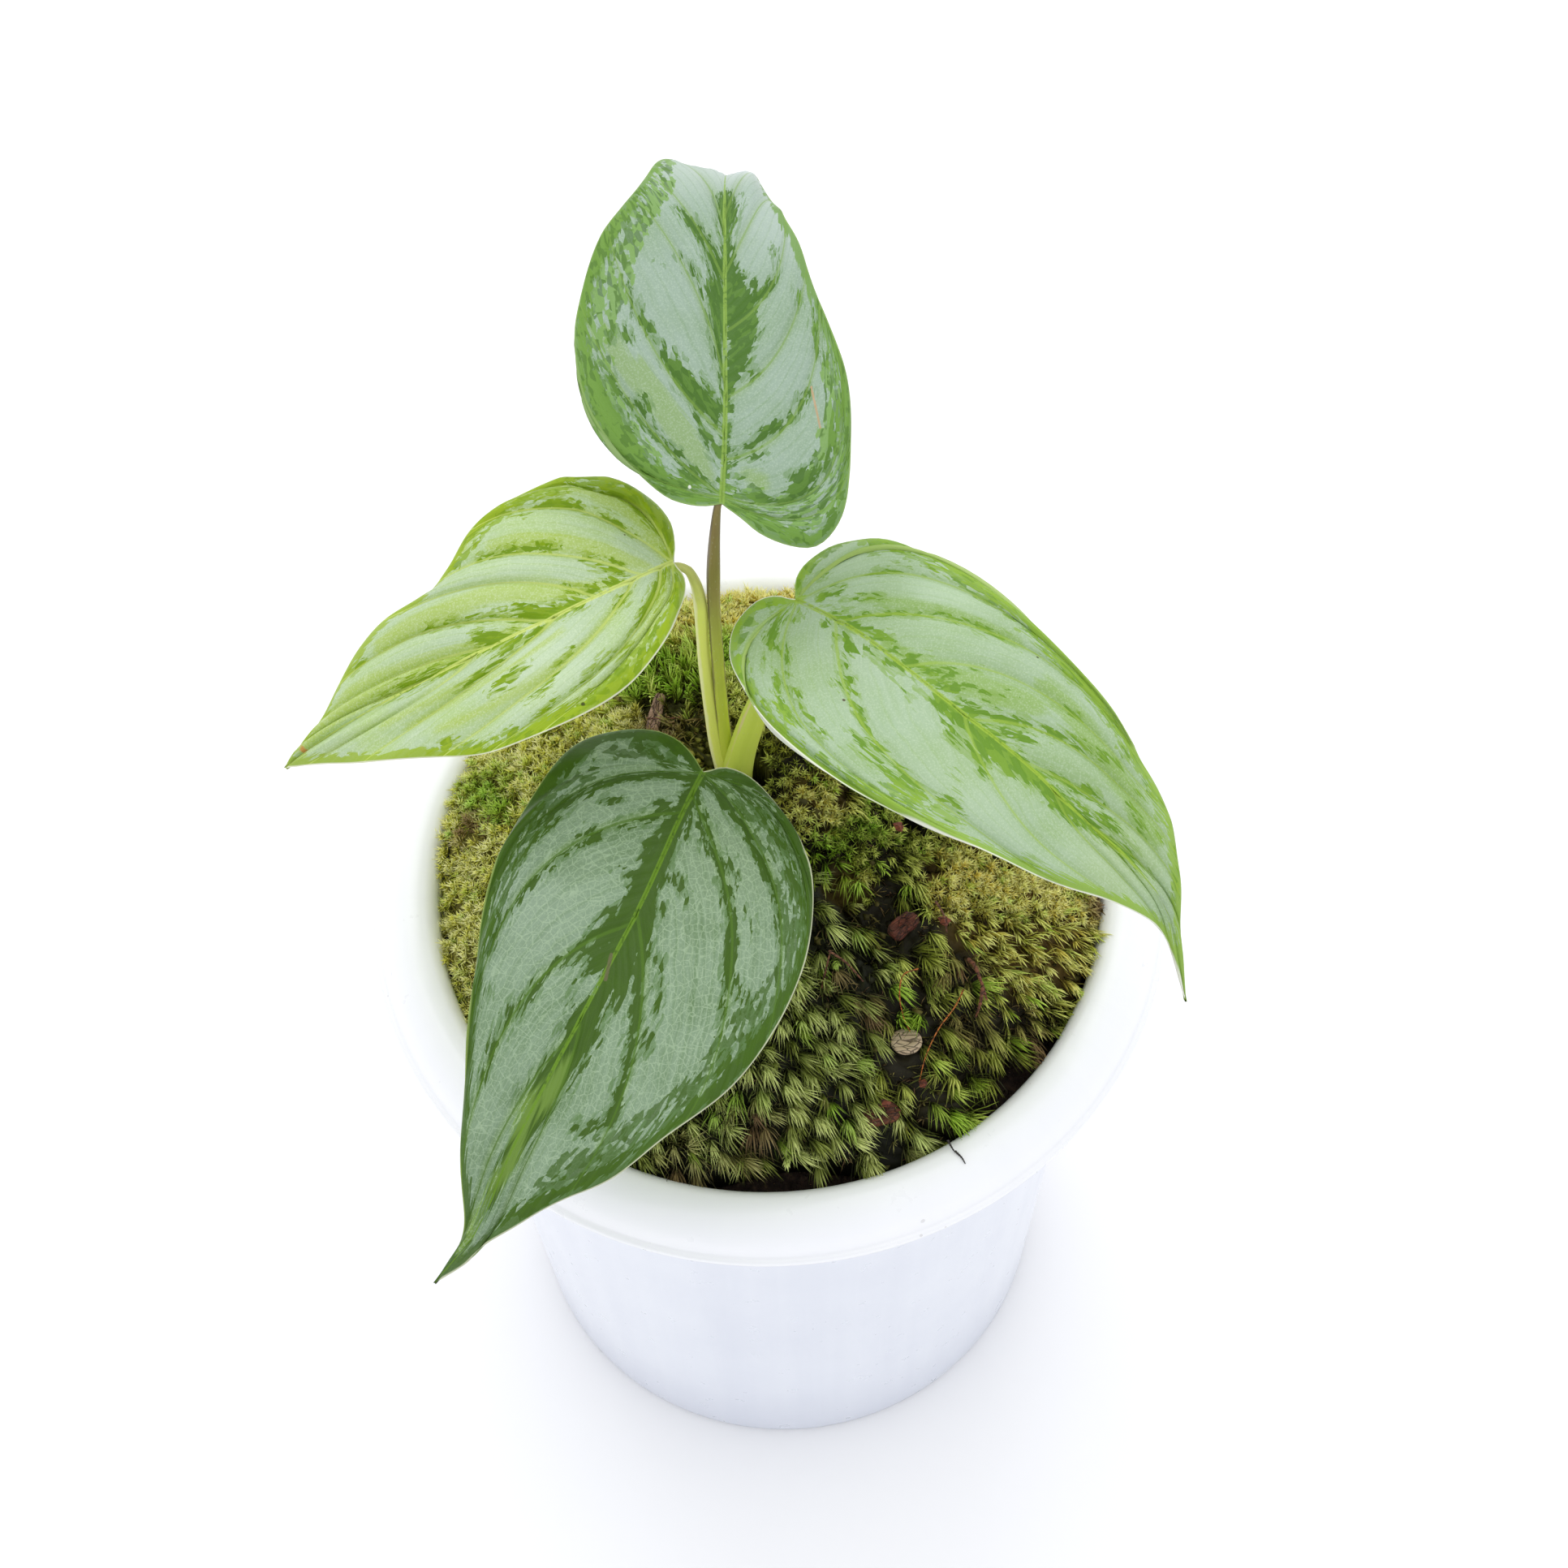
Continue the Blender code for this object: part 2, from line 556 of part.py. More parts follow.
class Blade:
    """Carries flat places of a leaf blade to the bent surface that hangs on its midrib."""

    def __init__(self, leaf):
        self.along, self.spine = smooth_curve(np.array(leaf["midrib"]) * MM, 200)
        self.length = self.along[-1]
        slopes = np.gradient(self.spine, self.along, axis=0)
        self.slopes = slopes / np.linalg.norm(slopes, axis=1, keepdims=True)
        self.roll = np.radians(leaf["roll"])
        self.fold = np.radians(leaf["fold"])
        self.cup = leaf["cup"]

    def eased(self, values, share):
        return np.interp(share, np.linspace(0, 1, len(values)), values)

    def place(self, x, y, lift):
        """x across and y along the flat blade, and lift off its surface, all in metres."""
        kept = min(max(y, 0.0), self.length)
        middle = np.array([np.interp(kept, self.along, column) for column in self.spine.T])
        slope = np.array([np.interp(kept, self.along, column) for column in self.slopes.T])
        slope /= np.linalg.norm(slope)
        middle = middle + slope * (y - kept)
        across = np.cross(slope, (0, 0, 1))
        across /= np.linalg.norm(across)
        upward = np.cross(across, slope)
        share = kept / self.length
        roll = self.eased(self.roll, share)
        fold = self.eased(self.fold, share)
        side = across * math.cos(roll) + upward * math.sin(roll)
        out = upward * math.cos(roll) - across * math.sin(roll)
        rise = abs(x) * math.sin(fold) - self.cup * x * x + lift
        return middle + side * x * math.cos(fold) + out * rise


def margin_rows(outline, length):
    """The margin's place at the end of each row: spread evenly round the lobe, then by length."""
    along, edge = smooth_curve([(x * MM, y * MM, 0) for x, y in outline], 600)
    basal_end = BLADE_BASAL_SPAN * length
    turn = max(index for index in range(600) if edge[index, 1] <= basal_end)
    rows = []
    for row in range(BLADE_ROWS + 1):
        if row <= BLADE_BASAL_ROWS:
            far = along[turn] * row / BLADE_BASAL_ROWS
            rows.append([np.interp(far, along, edge[:, 0]), np.interp(far, along, edge[:, 1])])
        else:
            share = (row - BLADE_BASAL_ROWS) / (BLADE_ROWS - BLADE_BASAL_ROWS)
            y = basal_end + share * (length - basal_end)
            rows.append([np.interp(y, edge[turn:, 1], edge[turn:, 0]), y])
    return rows


def turn_from(first, other):
    """The angle between two flat directions."""
    cosine = np.dot(first, other) / (np.linalg.norm(first) * np.linalg.norm(other) + 1e-12)
    return math.acos(min(1.0, max(-1.0, cosine)))


def vein_path(start, end, bow, share):
    """A side vein leaves the midrib and bends towards the tip on its way to the margin."""
    chord = np.subtract(end, start)
    turn = math.copysign(bow, -end[0]) if end[0] else 0.0
    bent = np.array((
        chord[0] * math.cos(turn) - chord[1] * math.sin(turn),
        chord[0] * math.sin(turn) + chord[1] * math.cos(turn),
    ))
    middle = np.add(start, bent / (2 * math.cos(turn)))
    return (1 - share) ** 2 * np.array(start) + 2 * share * (1 - share) * middle + share**2 * np.array(end)


def make_leaf(name, leaf):
    """A thin blade whose rows of faces follow the side veins, sunk along them, with a waved margin."""
    blade = Blade(leaf)
    tall, waves, phase = leaf["wave"]
    index, middle, keel = {}, [], []
    triangles = []

    def corner(x, y, lift):
        key = (round(x / MM, 3), round(y / MM, 3))
        if key not in index:
            index[key] = len(middle)
            middle.append(blade.place(x, y, lift))
            keel.append(MIDRIB_KEEL * math.exp(-((x / MIDRIB_HALF_WIDTH) ** 2)))
        return index[key]

    for side in ("left", "right"):
        margin = margin_rows(leaf[side], blade.length)
        grid = []
        for row, end in enumerate(margin):
            past = max(0, row - BLADE_BASAL_ROWS) / (BLADE_ROWS - BLADE_BASAL_ROWS)
            start = (0.0, blade.length * past**BLADE_VEIN_SWEEP)
            end = start if row in (0, BLADE_ROWS) else end
            bow = math.radians(VEIN_BOW - VEIN_BOW_LESS * past)
            if row <= BLADE_BASAL_ROWS:
                bow = min(bow, 0.7 * turn_from(margin[1], end))
            line = []
            for column in range(BLADE_COLUMNS + 1):
                share = column / BLADE_COLUMNS
                x, y = vein_path(start, end, bow, share)
                x = 0.0 if column == 0 else x
                ripple = tall * MM * share**2 * math.sin(math.tau * waves * row / BLADE_ROWS + phase)
                sunk = VEIN_SINK if row % VEIN_EVERY == 0 else -VEIN_SINK / 2
                line.append(corner(x, y, ripple - sunk * 4 * share * (1 - share)))
            grid.append(line)
        for low, high in zip(grid, grid[1:]):
            for column in range(BLADE_COLUMNS):
                a, b, c, d = low[column], low[column + 1], high[column + 1], high[column]
                for face in ((a, b, c), (a, c, d)):
                    if len(set(face)) == 3:
                        triangles.append(face if side == "right" else face[::-1])
    material = plain_material(name + "_green", leaf["colour"], LEAF_ROUGHNESS)
    thicken(name, np.array(middle), np.array(keel), triangles, material)


def thicken(name, middle, keel, triangles, material):
    """Gives a sheet of triangles two like faces and an edge between them."""
    faces = np.array(triangles)
    flats = np.cross(middle[faces[:, 1]] - middle[faces[:, 0]], middle[faces[:, 2]] - middle[faces[:, 0]])
    normals = np.zeros_like(middle)
    for column in range(3):
        np.add.at(normals, faces[:, column], flats)
    normals /= np.linalg.norm(normals, axis=1, keepdims=True)
    top = middle + normals * BLADE_THICKNESS / 2
    bottom = middle - normals * (BLADE_THICKNESS / 2 + keel[:, None])
    count = len(middle)
    used = set()
    for a, b, c in triangles:
        used |= {(a, b), (b, c), (c, a)}
    walls = [(b, a, count + a, count + b) for a, b in sorted(used) if (b, a) not in used]
    both = [tuple(face) for face in triangles]
    both += [(count + c, count + b, count + a) for a, b, c in triangles]
    for a, b, c, d in walls:
        both += [(a, b, c), (a, c, d)]
    solid(name, np.vstack([top, bottom]), both, material, True)


def share_of_outline(outline, centre, place):
    """0 at the centre of an outline, and 1 on its edge."""
    shares = []
    for start, end in zip(outline, outline[1:] + outline[:1]):
        across = (end[1] - start[1], start[0] - end[0])
        edge = across[0] * (start[0] - centre[0]) + across[1] * (start[1] - centre[1])
        here = across[0] * (place[0] - centre[0]) + across[1] * (place[1] - centre[1])
        shares.append(here / edge)
    return max(shares)


def highest_under(patches, outline, centre):
    """The highest moss inside an outline, found from its corners and from rays cast down on it."""
    highest = 0.0
    for patch in patches:
        tree = BVHTree.FromPolygons(
            [tuple(vertex.co) for vertex in patch.data.vertices],
            [tuple(polygon.vertices) for polygon in patch.data.polygons],
        )
        for vertex in patch.data.vertices:
            if share_of_outline(outline, centre, vertex.co) < 1.05:
                highest = max(highest, vertex.co.z)
        for start, end in zip(outline, outline[1:] + outline[:1]):
            for part in (0.0, 0.25, 0.5, 0.75):
                x = start[0] + (end[0] - start[0]) * part
                y = start[1] + (end[1] - start[1]) * part
                for share in (0.3, 0.6, 0.9, 1.02):
                    over_x = centre[0] + (x - centre[0]) * share
                    over_y = centre[1] + (y - centre[1]) * share
                    hit = tree.ray_cast(Vector((over_x, over_y, 1.0)), Vector((0, 0, -1)))[0]
                    highest = max(highest, hit.z if hit else 0.0)
    return highest


def make_loose_bit(patches, name, place, size, thick, turn, corners, colour):
    """A chip with an uneven outline and top, or a round disc, which rests flat on the moss."""
    is_round = corners > 8
    turned = math.radians(turn)
    centre = (place[0] * MM, place[1] * MM)
    outline = []
    for corner in range(corners):
        angle = math.tau * corner / corners
        reach_out = 1.0 if is_round else random.uniform(0.78, 1.05)
        x = size[0] / 2 * reach_out * math.cos(angle) * MM
        y = size[1] / 2 * reach_out * math.sin(angle) * MM
        outline.append((
            centre[0] + x * math.cos(turned) - y * math.sin(turned),
            centre[1] + x * math.sin(turned) + y * math.cos(turned),
        ))
    rest = highest_under(patches, outline, centre) + SEAT_GAP
    points = [(x, y, rest) for x, y in outline]
    for x, y in outline:
        points.append((x, y, rest + thick * MM * (1.0 if is_round else random.uniform(0.75, 1.1))))
    points.append((*centre, rest + thick * MM * 1.15))
    faces = [tuple(range(corners))]
    for corner in range(corners):
        after = (corner + 1) % corners
        faces.append((corner, after, corners + after))
        faces.append((corner, corners + after, corners + corner))
        faces.append((corners + corner, corners + after, 2 * corners))
    solid(name, points, faces, plain_material(name + "_brown", colour, 0.8), False)


def make_loose_bits(patches):
    random.seed(9)
    for name, shape in LOOSE_BITS.items():
        make_loose_bit(patches, name, *shape)


clear_scene()
make_pot()
make_soil()
moss_patches = make_moss()
make_stems()
for leaf_name, leaf_shape in LEAVES.items():
    make_leaf(leaf_name, leaf_shape)
make_loose_bits(moss_patches)
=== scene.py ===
"""A potted philodendron in a white pot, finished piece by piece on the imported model.

The tables are in millimetres. +Z is up, +X is to the right and +Y to the back as seen in the photo.
"""
import math
import random

import bpy
import numpy as np
from mathutils import Matrix, Vector


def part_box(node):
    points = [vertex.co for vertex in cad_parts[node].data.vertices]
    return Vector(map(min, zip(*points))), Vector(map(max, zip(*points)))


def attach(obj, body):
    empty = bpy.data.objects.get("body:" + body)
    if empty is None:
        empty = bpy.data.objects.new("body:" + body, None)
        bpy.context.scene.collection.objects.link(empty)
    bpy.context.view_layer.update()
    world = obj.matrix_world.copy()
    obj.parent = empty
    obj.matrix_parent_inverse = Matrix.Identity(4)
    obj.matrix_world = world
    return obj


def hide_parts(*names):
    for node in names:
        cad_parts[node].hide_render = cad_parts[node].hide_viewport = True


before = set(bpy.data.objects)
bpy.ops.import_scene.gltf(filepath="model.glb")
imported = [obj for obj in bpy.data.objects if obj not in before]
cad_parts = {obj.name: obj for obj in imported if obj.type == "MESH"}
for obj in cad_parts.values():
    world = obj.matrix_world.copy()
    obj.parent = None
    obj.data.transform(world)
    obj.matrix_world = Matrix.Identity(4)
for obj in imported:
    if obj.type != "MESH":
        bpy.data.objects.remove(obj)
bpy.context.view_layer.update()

# The pot. One moulded piece of white plastic: a slightly tapered wall that turns outwards into a
# rolled rim, with the mould's parting bead round the rim's lower edge and a thin wall inside.
MM = 0.001
POT_SIDES = 224
POT_BODY_RINGS = 30
POT_BODY_FOOT = (43.5, 1.6)
POT_BODY_TOP = (52.8, 113)
POT_FOOT = ((0, 0), (30, 0), (41.2, 0), (42.1, 0.02), (42.8, 0.25), (43.3, 0.75))
POT_RIM = (
    (52.95, 113.35), (53.4, 113.65), (54.3, 113.95), (57.4, 115.2), (60.4, 116.55), (61.3, 117.1),
    (61.75, 117.45), (62.15, 117.55), (62.45, 117.85), (62.52, 118.3), (62.35, 118.7), (61.95, 118.85),
    (61.62, 119), (61.5, 119.35), (61.35, 119.95), (61, 121), (60.5, 121.9), (59.8, 122.8),
    (58.9, 123.6), (57.8, 124.3), (56.6, 124.7), (55.4, 124.75), (54.3, 124.5), (53.4, 124),
    (52.6, 123.1), (52.1, 122.1), (51.75, 121), (51.45, 117.5), (51.3, 113),
)
POT_INSIDE = ((49.0, 85), (45.6, 45), (42.2, 4.5), (41.7, 3.6), (40.7, 3.0), (0, 3.0))


def new_piece(name, points, faces, material, smooth=True):
    """A mesh piece from places in metres and faces that all have the same number of corners."""
    faces = np.ascontiguousarray(faces, np.int32)
    mesh = bpy.data.meshes.new(name)
    mesh.vertices.add(len(points))
    mesh.vertices.foreach_set("co", np.ascontiguousarray(points, np.float32).ravel())
    mesh.loops.add(faces.size)
    mesh.loops.foreach_set("vertex_index", faces.ravel())
    mesh.polygons.add(len(faces))
    mesh.polygons.foreach_set("loop_start", np.arange(len(faces), dtype=np.int32) * faces.shape[1])
    mesh.update(calc_edges=True)
    mesh.polygons.foreach_set("use_smooth", np.full(len(faces), smooth))
    mesh.materials.append(material)
    piece = bpy.data.objects.new(name, mesh)
    bpy.context.scene.collection.objects.link(piece)
    return piece


def give(piece, **values):
    """Stores a number or a vector for each of the piece's points, for its material to read."""
    for name, numbers in values.items():
        kind, key = ("FLOAT_VECTOR", "vector") if np.ndim(numbers) > 1 else ("FLOAT", "value")
        layer = piece.data.attributes.new(name, kind, "POINT")
        layer.data.foreach_set(key, np.ascontiguousarray(numbers, np.float32).ravel())


def settle(piece, node):
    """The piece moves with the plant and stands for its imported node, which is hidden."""
    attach(piece, "root")
    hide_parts(node)


def all_round(count):
    return np.linspace(0, math.tau, count, endpoint=False)


def ring_faces(rings, sides, closed=True):
    """Four-cornered faces between rings of points, turned outwards for rings that climb."""
    ring, side = np.meshgrid(np.arange(rings - 1), np.arange(sides if closed else sides - 1), indexing="ij")
    after = (side + 1) % sides
    low, high = ring * sides, (ring + 1) * sides
    return np.stack([low + side, low + after, high + after, high + side], -1).reshape(-1, 4)


def as_triangles(faces):
    return np.vstack([faces[:, [0, 1, 2]], faces[:, [0, 2, 3]]])


def capped_faces(rings, sides):
    """Three-cornered faces of a closed body: its rings, then a point for each end."""
    side = np.arange(sides)
    after = (side + 1) % sides
    last = (rings - 1) * sides
    start = np.stack([np.full(sides, rings * sides), after, side], 1)
    end = np.stack([np.full(sides, rings * sides + 1), last + side, last + after], 1)
    return np.vstack([as_triangles(ring_faces(rings, sides)), start, end])


class Recipe:
    """Adds shader nodes to a material or a group, and joins them."""

    def __init__(self, tree):
        self.tree = tree

    def feed(self, socket, value):
        if hasattr(value, "is_output"):
            self.tree.links.new(value, socket)
        elif socket.type == "RGBA":
            socket.default_value = (*value[:3], 1.0)
        else:
            socket.default_value = value

    def dress(self, **values):
        """Feeds the material's own shader."""
        for name, value in values.items():
            socket = name.replace("_", " ").title().replace("Ior", "IOR")
            self.feed(self.tree.nodes["Principled BSDF"].inputs[socket], value)

    def result(self, **values):
        """Feeds what a group puts out."""
        for name, value in values.items():
            self.feed(self.tree.nodes["Group Output"].inputs[name], value)

    def node(self, kind, *values, inputs=None, **settings):
        made = self.tree.nodes.new("ShaderNode" + kind)
        for setting, value in settings.items():
            setattr(made, setting, value)
        for socket, value in zip(made.inputs, values):
            self.feed(socket, value)
        for socket, value in (inputs or {}).items():
            self.feed(made.inputs[socket], value)
        return made

    def use(self, group, **inputs):
        return self.node("Group", node_tree=group, inputs=inputs).outputs

    def math(self, operation, *values):
        return self.node("Math", *values, operation=operation).outputs[0]

    def times(self, first, second):
        return self.math("MULTIPLY", first, second)

    def plus(self, first, second):
        return self.math("ADD", first, second)

    def scaled(self, value, factor, shift):
        return self.math("MULTIPLY_ADD", value, factor, shift)

    def read(self, name, kind="Fac"):
        return self.node("Attribute", attribute_name=name).outputs[kind]

    def place(self):
        return self.node("TexCoord").outputs["Object"]

    def parts(self, vector):
        return self.node("SeparateXYZ", vector).outputs

    def vector(self, x, y, z=0.0):
        return self.node("CombineXYZ", x, y, z).outputs[0]

    def stretched(self, place, x, y, z):
        return self.node("VectorMath", place, (x, y, z), operation="MULTIPLY").outputs[0]

    def measure(self, operation, place, other):
        return self.node("VectorMath", place, other, operation=operation).outputs["Value"]

    def noise(self, place, scale, detail=3.0, rough=0.5):
        settings = {"Vector": place, "Scale": scale, "Detail": detail, "Roughness": rough}
        return self.node("TexNoise", inputs=settings).outputs[0]

    def cells(self, place, scale, feature="F1"):
        return self.node("TexVoronoi", feature=feature, inputs={"Vector": place, "Scale": scale}).outputs

    def rise(self, value, low, high):
        """0 below the low value and 1 above the high one, eased between."""
        return self.node("MapRange", value, low, high, 0.0, 1.0, interpolation_type="SMOOTHSTEP").outputs[0]

    def mix(self, share, first, second):
        made = self.node("Mix", data_type="RGBA")
        for socket, value in zip((0, 6, 7), (share, first, second)):
            self.feed(made.inputs[socket], value)
        return made.outputs[2]

    def ramp(self, value, *stops):
        made = self.node("ValToRGB", value)
        elements = made.color_ramp.elements
        elements[0].position, elements[0].color = stops[0][0], (*stops[0][1], 1)
        elements[1].position, elements[1].color = stops[-1][0], (*stops[-1][1], 1)
        for position, colour in stops[1:-1]:
            elements.new(position).color = (*colour, 1)
        return made.outputs[0]

    def bump(self, height, strength, depth=1.0):
        """The height is in millimetres times the depth."""
        settings = {"Strength": strength, "Distance": depth * MM, "Height": height}
        return self.node("Bump", inputs=settings).outputs[0]


def new_finish(name, **constants):
    """A material whose shader has the constant settings, and the recipe for the rest."""
    material = bpy.data.materials.new(name)
    material.use_nodes = True
    recipe = Recipe(material.node_tree)
    recipe.dress(**constants)
    return material, recipe


def new_group(name, places, numbers, results):
    """An effect that several materials share: its group, its recipe and the sockets that it reads."""
    tree = bpy.data.node_groups.new(name, "ShaderNodeTree")
    kinds = (("INPUT", "Vector", places), ("INPUT", "Float", numbers), ("OUTPUT", "Float", results))
    for way, kind, sockets in kinds:
        for socket in sockets:
            tree.interface.new_socket(name=socket, in_out=way, socket_type="NodeSocket" + kind)
    tree.nodes.new("NodeGroupOutput")
    return tree, Recipe(tree), tree.nodes.new("NodeGroupInput").outputs


def dust_group():
    """Specks of potting dust that lie here and there on a smooth surface."""
    tree, recipe, given = new_group("potting_dust", ("Place",), ("Spacing", "Share"), ("Specks",))
    cells = recipe.cells(given["Place"], given["Spacing"])
    chosen = recipe.parts(cells["Color"])
    rare = recipe.math("LESS_THAN", chosen[0], given["Share"])
    near = recipe.math("LESS_THAN", cells["Distance"], recipe.scaled(chosen[1], 0.075, 0.03))
    recipe.result(Specks=recipe.times(rare, near))
    return tree


def pot_white():
    """Satin white plastic: painted shade on a cooler, darker body, a rim painted lighter, painted shade
    towards the foot, faint upright flow bands from the mould, dust specks.
    """
    material, recipe = new_finish("pot_white_plastic", coat_weight=0.25, coat_roughness=0.12)
    place = recipe.place()
    x, y, z = recipe.parts(place)
    round_pot = recipe.math("ARCTAN2", y, x)
    bands = recipe.noise(recipe.vector(recipe.times(round_pot, 7), recipe.times(z, 2.5)), 1, 3)
    tone = recipe.scaled(bands, 0.6, recipe.times(recipe.noise(place, 45, 4), 0.4))
    # Painted shade: the body is painted cooler and darker than the rim.
    body = recipe.ramp(tone, (0.35, (0.73, 0.76, 0.84)), (0.65, (0.8, 0.83, 0.895)))
    # Painted light: the top of the wall and the rim are painted lighter than the body.
    painted_lit_rim = recipe.ramp(tone, (0.3, (0.92, 0.93, 0.955)), (0.7, (0.95, 0.957, 0.975)))
    body = recipe.mix(recipe.rise(z, 0.1, 0.113), body, painted_lit_rim)
    # Painted shade, darker towards the foot where the pot stands on the table.
    body = recipe.mix(recipe.times(recipe.rise(z, 0.03, 0), 0.5), body, (0.58, 0.61, 0.7))
    dust = recipe.use(DUST, Place=place, Spacing=150.0, Share=0.12)[0]
    fine = recipe.use(DUST, Place=place, Spacing=420.0, Share=0.03)[0]
    near_rim = recipe.scaled(recipe.rise(z, 0.085, 0.122), 0.22, 0.02)
    specks = recipe.times(recipe.math("MAXIMUM", dust, fine), near_rim)
    skin = recipe.scaled(recipe.noise(place, 1500, 2), 0.02, recipe.times(bands, 0.35))
    recipe.dress(
        base_color=recipe.mix(specks, body, (0.22, 0.17, 0.13)),
        roughness=recipe.scaled(recipe.noise(place, 260, 4, 0.6), 0.16, 0.22),
        normal=recipe.bump(skin, 0.6))
    return material


def make_pot():
    share = np.linspace(0, 1, POT_BODY_RINGS)[:, None]
    body = np.array(POT_BODY_FOOT) * (1 - share) + np.array(POT_BODY_TOP) * share
    profile = np.vstack([POT_FOOT[1:], body, POT_RIM, POT_INSIDE[:-1]])
    turn = all_round(POT_SIDES)
    rings = np.stack([
        profile[:, :1] * np.cos(turn), profile[:, :1] * np.sin(turn), np.repeat(profile[:, 1:], POT_SIDES, 1),
    ], -1).reshape(-1, 3)
    points = np.vstack([rings, [(0, 0, POT_FOOT[0][1]), (0, 0, POT_INSIDE[-1][1])]])
    pot = new_piece("pot_shell", points * MM, capped_faces(len(profile), POT_SIDES), pot_white())
    settle(pot, "pot")


DUST = dust_group()
make_pot()

# The soil. Dark peaty potting soil that fills the pot to just under the moss, crumbly on top,
# with a plain hole where the plant's crown stands. It shows in two gaps beside the moss.
CROWN_AT = (-4.3, 13.2)
CROWN_HOLE = 4.75
CROWN_FOOT = 98
SOIL_TOP = 113.9
SOIL_RADIUS = 51.0
SOIL_SIDES = 168
SOIL_RINGS = 30
SOIL_LUMP = 1.3
SOIL_FOOT = ((41.5, 5.2), (39.8, 3.3))
# Crumbs lie on the soil where it shows: between these directions and this far from the pot's axis.
SOIL_CRUMBS = 420
CRUMBS_ROUND = (math.radians(240), math.radians(345))
CRUMBS_OUT = (40, 50.4)
CRUMB_SIDES = 5


def reach(angle, radius):
    """How far it is from the crown to a circle round the pot's axis, in this direction."""
    across = CROWN_AT[0] * np.cos(angle) + CROWN_AT[1] * np.sin(angle)
    return np.sqrt(across**2 - CROWN_AT[0] ** 2 - CROWN_AT[1] ** 2 + radius**2) - across


def from_crown(angle, out):
    return CROWN_AT[0] + out * np.cos(angle), CROWN_AT[1] + out * np.sin(angle)


def soil_brown():
    material, recipe = new_finish("peaty_soil")
    place = recipe.place()
    grain = recipe.noise(place, 900, 6, 0.7)
    fibre = recipe.cells(recipe.stretched(place, 1, 3.5, 1), 420)["Distance"]
    earth = recipe.ramp(
        grain, (0.3, (0.008, 0.005, 0.004)), (0.55, (0.05, 0.03, 0.02)), (0.75, (0.15, 0.085, 0.05)))
    recipe.dress(
        base_color=recipe.mix(recipe.rise(fibre, 0.1, 0.02), earth, (0.3, 0.16, 0.08)),
        roughness=recipe.scaled(grain, 0.3, 0.7), normal=recipe.bump(grain, 0.9, 0.6))
    return material


def crumb_shapes(places, sizes, chance):
    """Small uneven lumps, each a double cone pushed out of shape."""
    shape = [(math.cos(a), math.sin(a), 0.25 * (-1) ** i) for i, a in enumerate(all_round(CRUMB_SIDES))]
    shape = np.array([*shape, (0, 0, 0.8), (0, 0, -0.8)])
    corners = shape * chance.uniform(0.55, 1.2, (len(places), len(shape), 1)) * sizes[:, None, None]
    points = (places[:, None] + corners).reshape(-1, 3)
    side = np.arange(CRUMB_SIDES)
    after = (side + 1) % CRUMB_SIDES
    top, bottom = np.full((2, CRUMB_SIDES), CRUMB_SIDES) + ((0,), (1,))
    faces = np.vstack([np.stack([side, after, top], 1), np.stack([after, side, bottom], 1)])
    return points, (np.arange(len(places))[:, None, None] * len(shape) + faces).reshape(-1, 3)


def make_soil():
    chance = np.random.default_rng(5)
    turn = all_round(SOIL_SIDES)
    rows = [
        np.stack([*from_crown(turn, np.full(SOIL_SIDES, CROWN_HOLE)), np.full(SOIL_SIDES, height)], 1)
        for height in (CROWN_FOOT, SOIL_TOP - 2 * SOIL_LUMP)]
    for share in np.linspace(0.02, 1, SOIL_RINGS):
        out = CROWN_HOLE + share * (reach(turn, SOIL_RADIUS) - CROWN_HOLE)
        x, y = from_crown(turn, out)
        waves = np.sin(0.55 * x + 2 * np.sin(0.4 * y)) * np.sin(0.6 * y + 1.5 * np.sin(0.35 * x))
        drop = SOIL_LUMP * (0.35 + 0.3 * waves + chance.uniform(0, 0.35, SOIL_SIDES))
        rows.append(np.stack([x, y, SOIL_TOP - drop], 1))
    for radius, height in SOIL_FOOT:
        rows.append(np.stack([*from_crown(turn, reach(turn, radius)), np.full(SOIL_SIDES, height)], 1))
    points = np.vstack([*rows, [(*CROWN_AT, CROWN_FOOT), (0, 0, SOIL_FOOT[-1][1])]])
    angle = chance.uniform(*CRUMBS_ROUND, SOIL_CRUMBS)
    out = chance.uniform(*CRUMBS_OUT, SOIL_CRUMBS)
    size = chance.uniform(0.25, 0.85, SOIL_CRUMBS)
    places = np.stack([out * np.cos(angle), out * np.sin(angle), SOIL_TOP - 0.5 + 0.3 * size], 1)
    lumps, lump_faces = crumb_shapes(places, size, chance)
    faces = np.vstack([capped_faces(len(rows), SOIL_SIDES)[:, ::-1], lump_faces + len(points)])
    soil = new_piece("potting_soil", np.vstack([points, lumps]) * MM, faces, soil_brown(), False)
    settle(soil, "soil")


make_soil()

# The moss. Four cushions of live moss of different kinds, pressed together on the soil round the
# stems. Each is a spongy bed, painted dark with painted shade, with thousands of separate shoots standing in
# it.
MOSS_HOLE = 5.6
MOSS_UNDERSIDE = SOIL_TOP + 0.3
MOSS_EDGE = 50.9
MOSS_EDGE_HEIGHT = 117
MOSS_DOME = 14
MOSS_BACK_RISE = 9
# Where the moss draws back from the wall and bare soil shows: angle, half width, depth.
MOSS_BAYS = ((271, 15, 5.5), (318, 12, 5))
CUSHIONS = 90
BED_RINGS = 64
BED_COLUMN = 1.25
LEAF_TURN = math.radians(137.5)
TUFT_SUNK = 0.8
SLOPE_STEP, STEEPEST = 0.8, 1.2

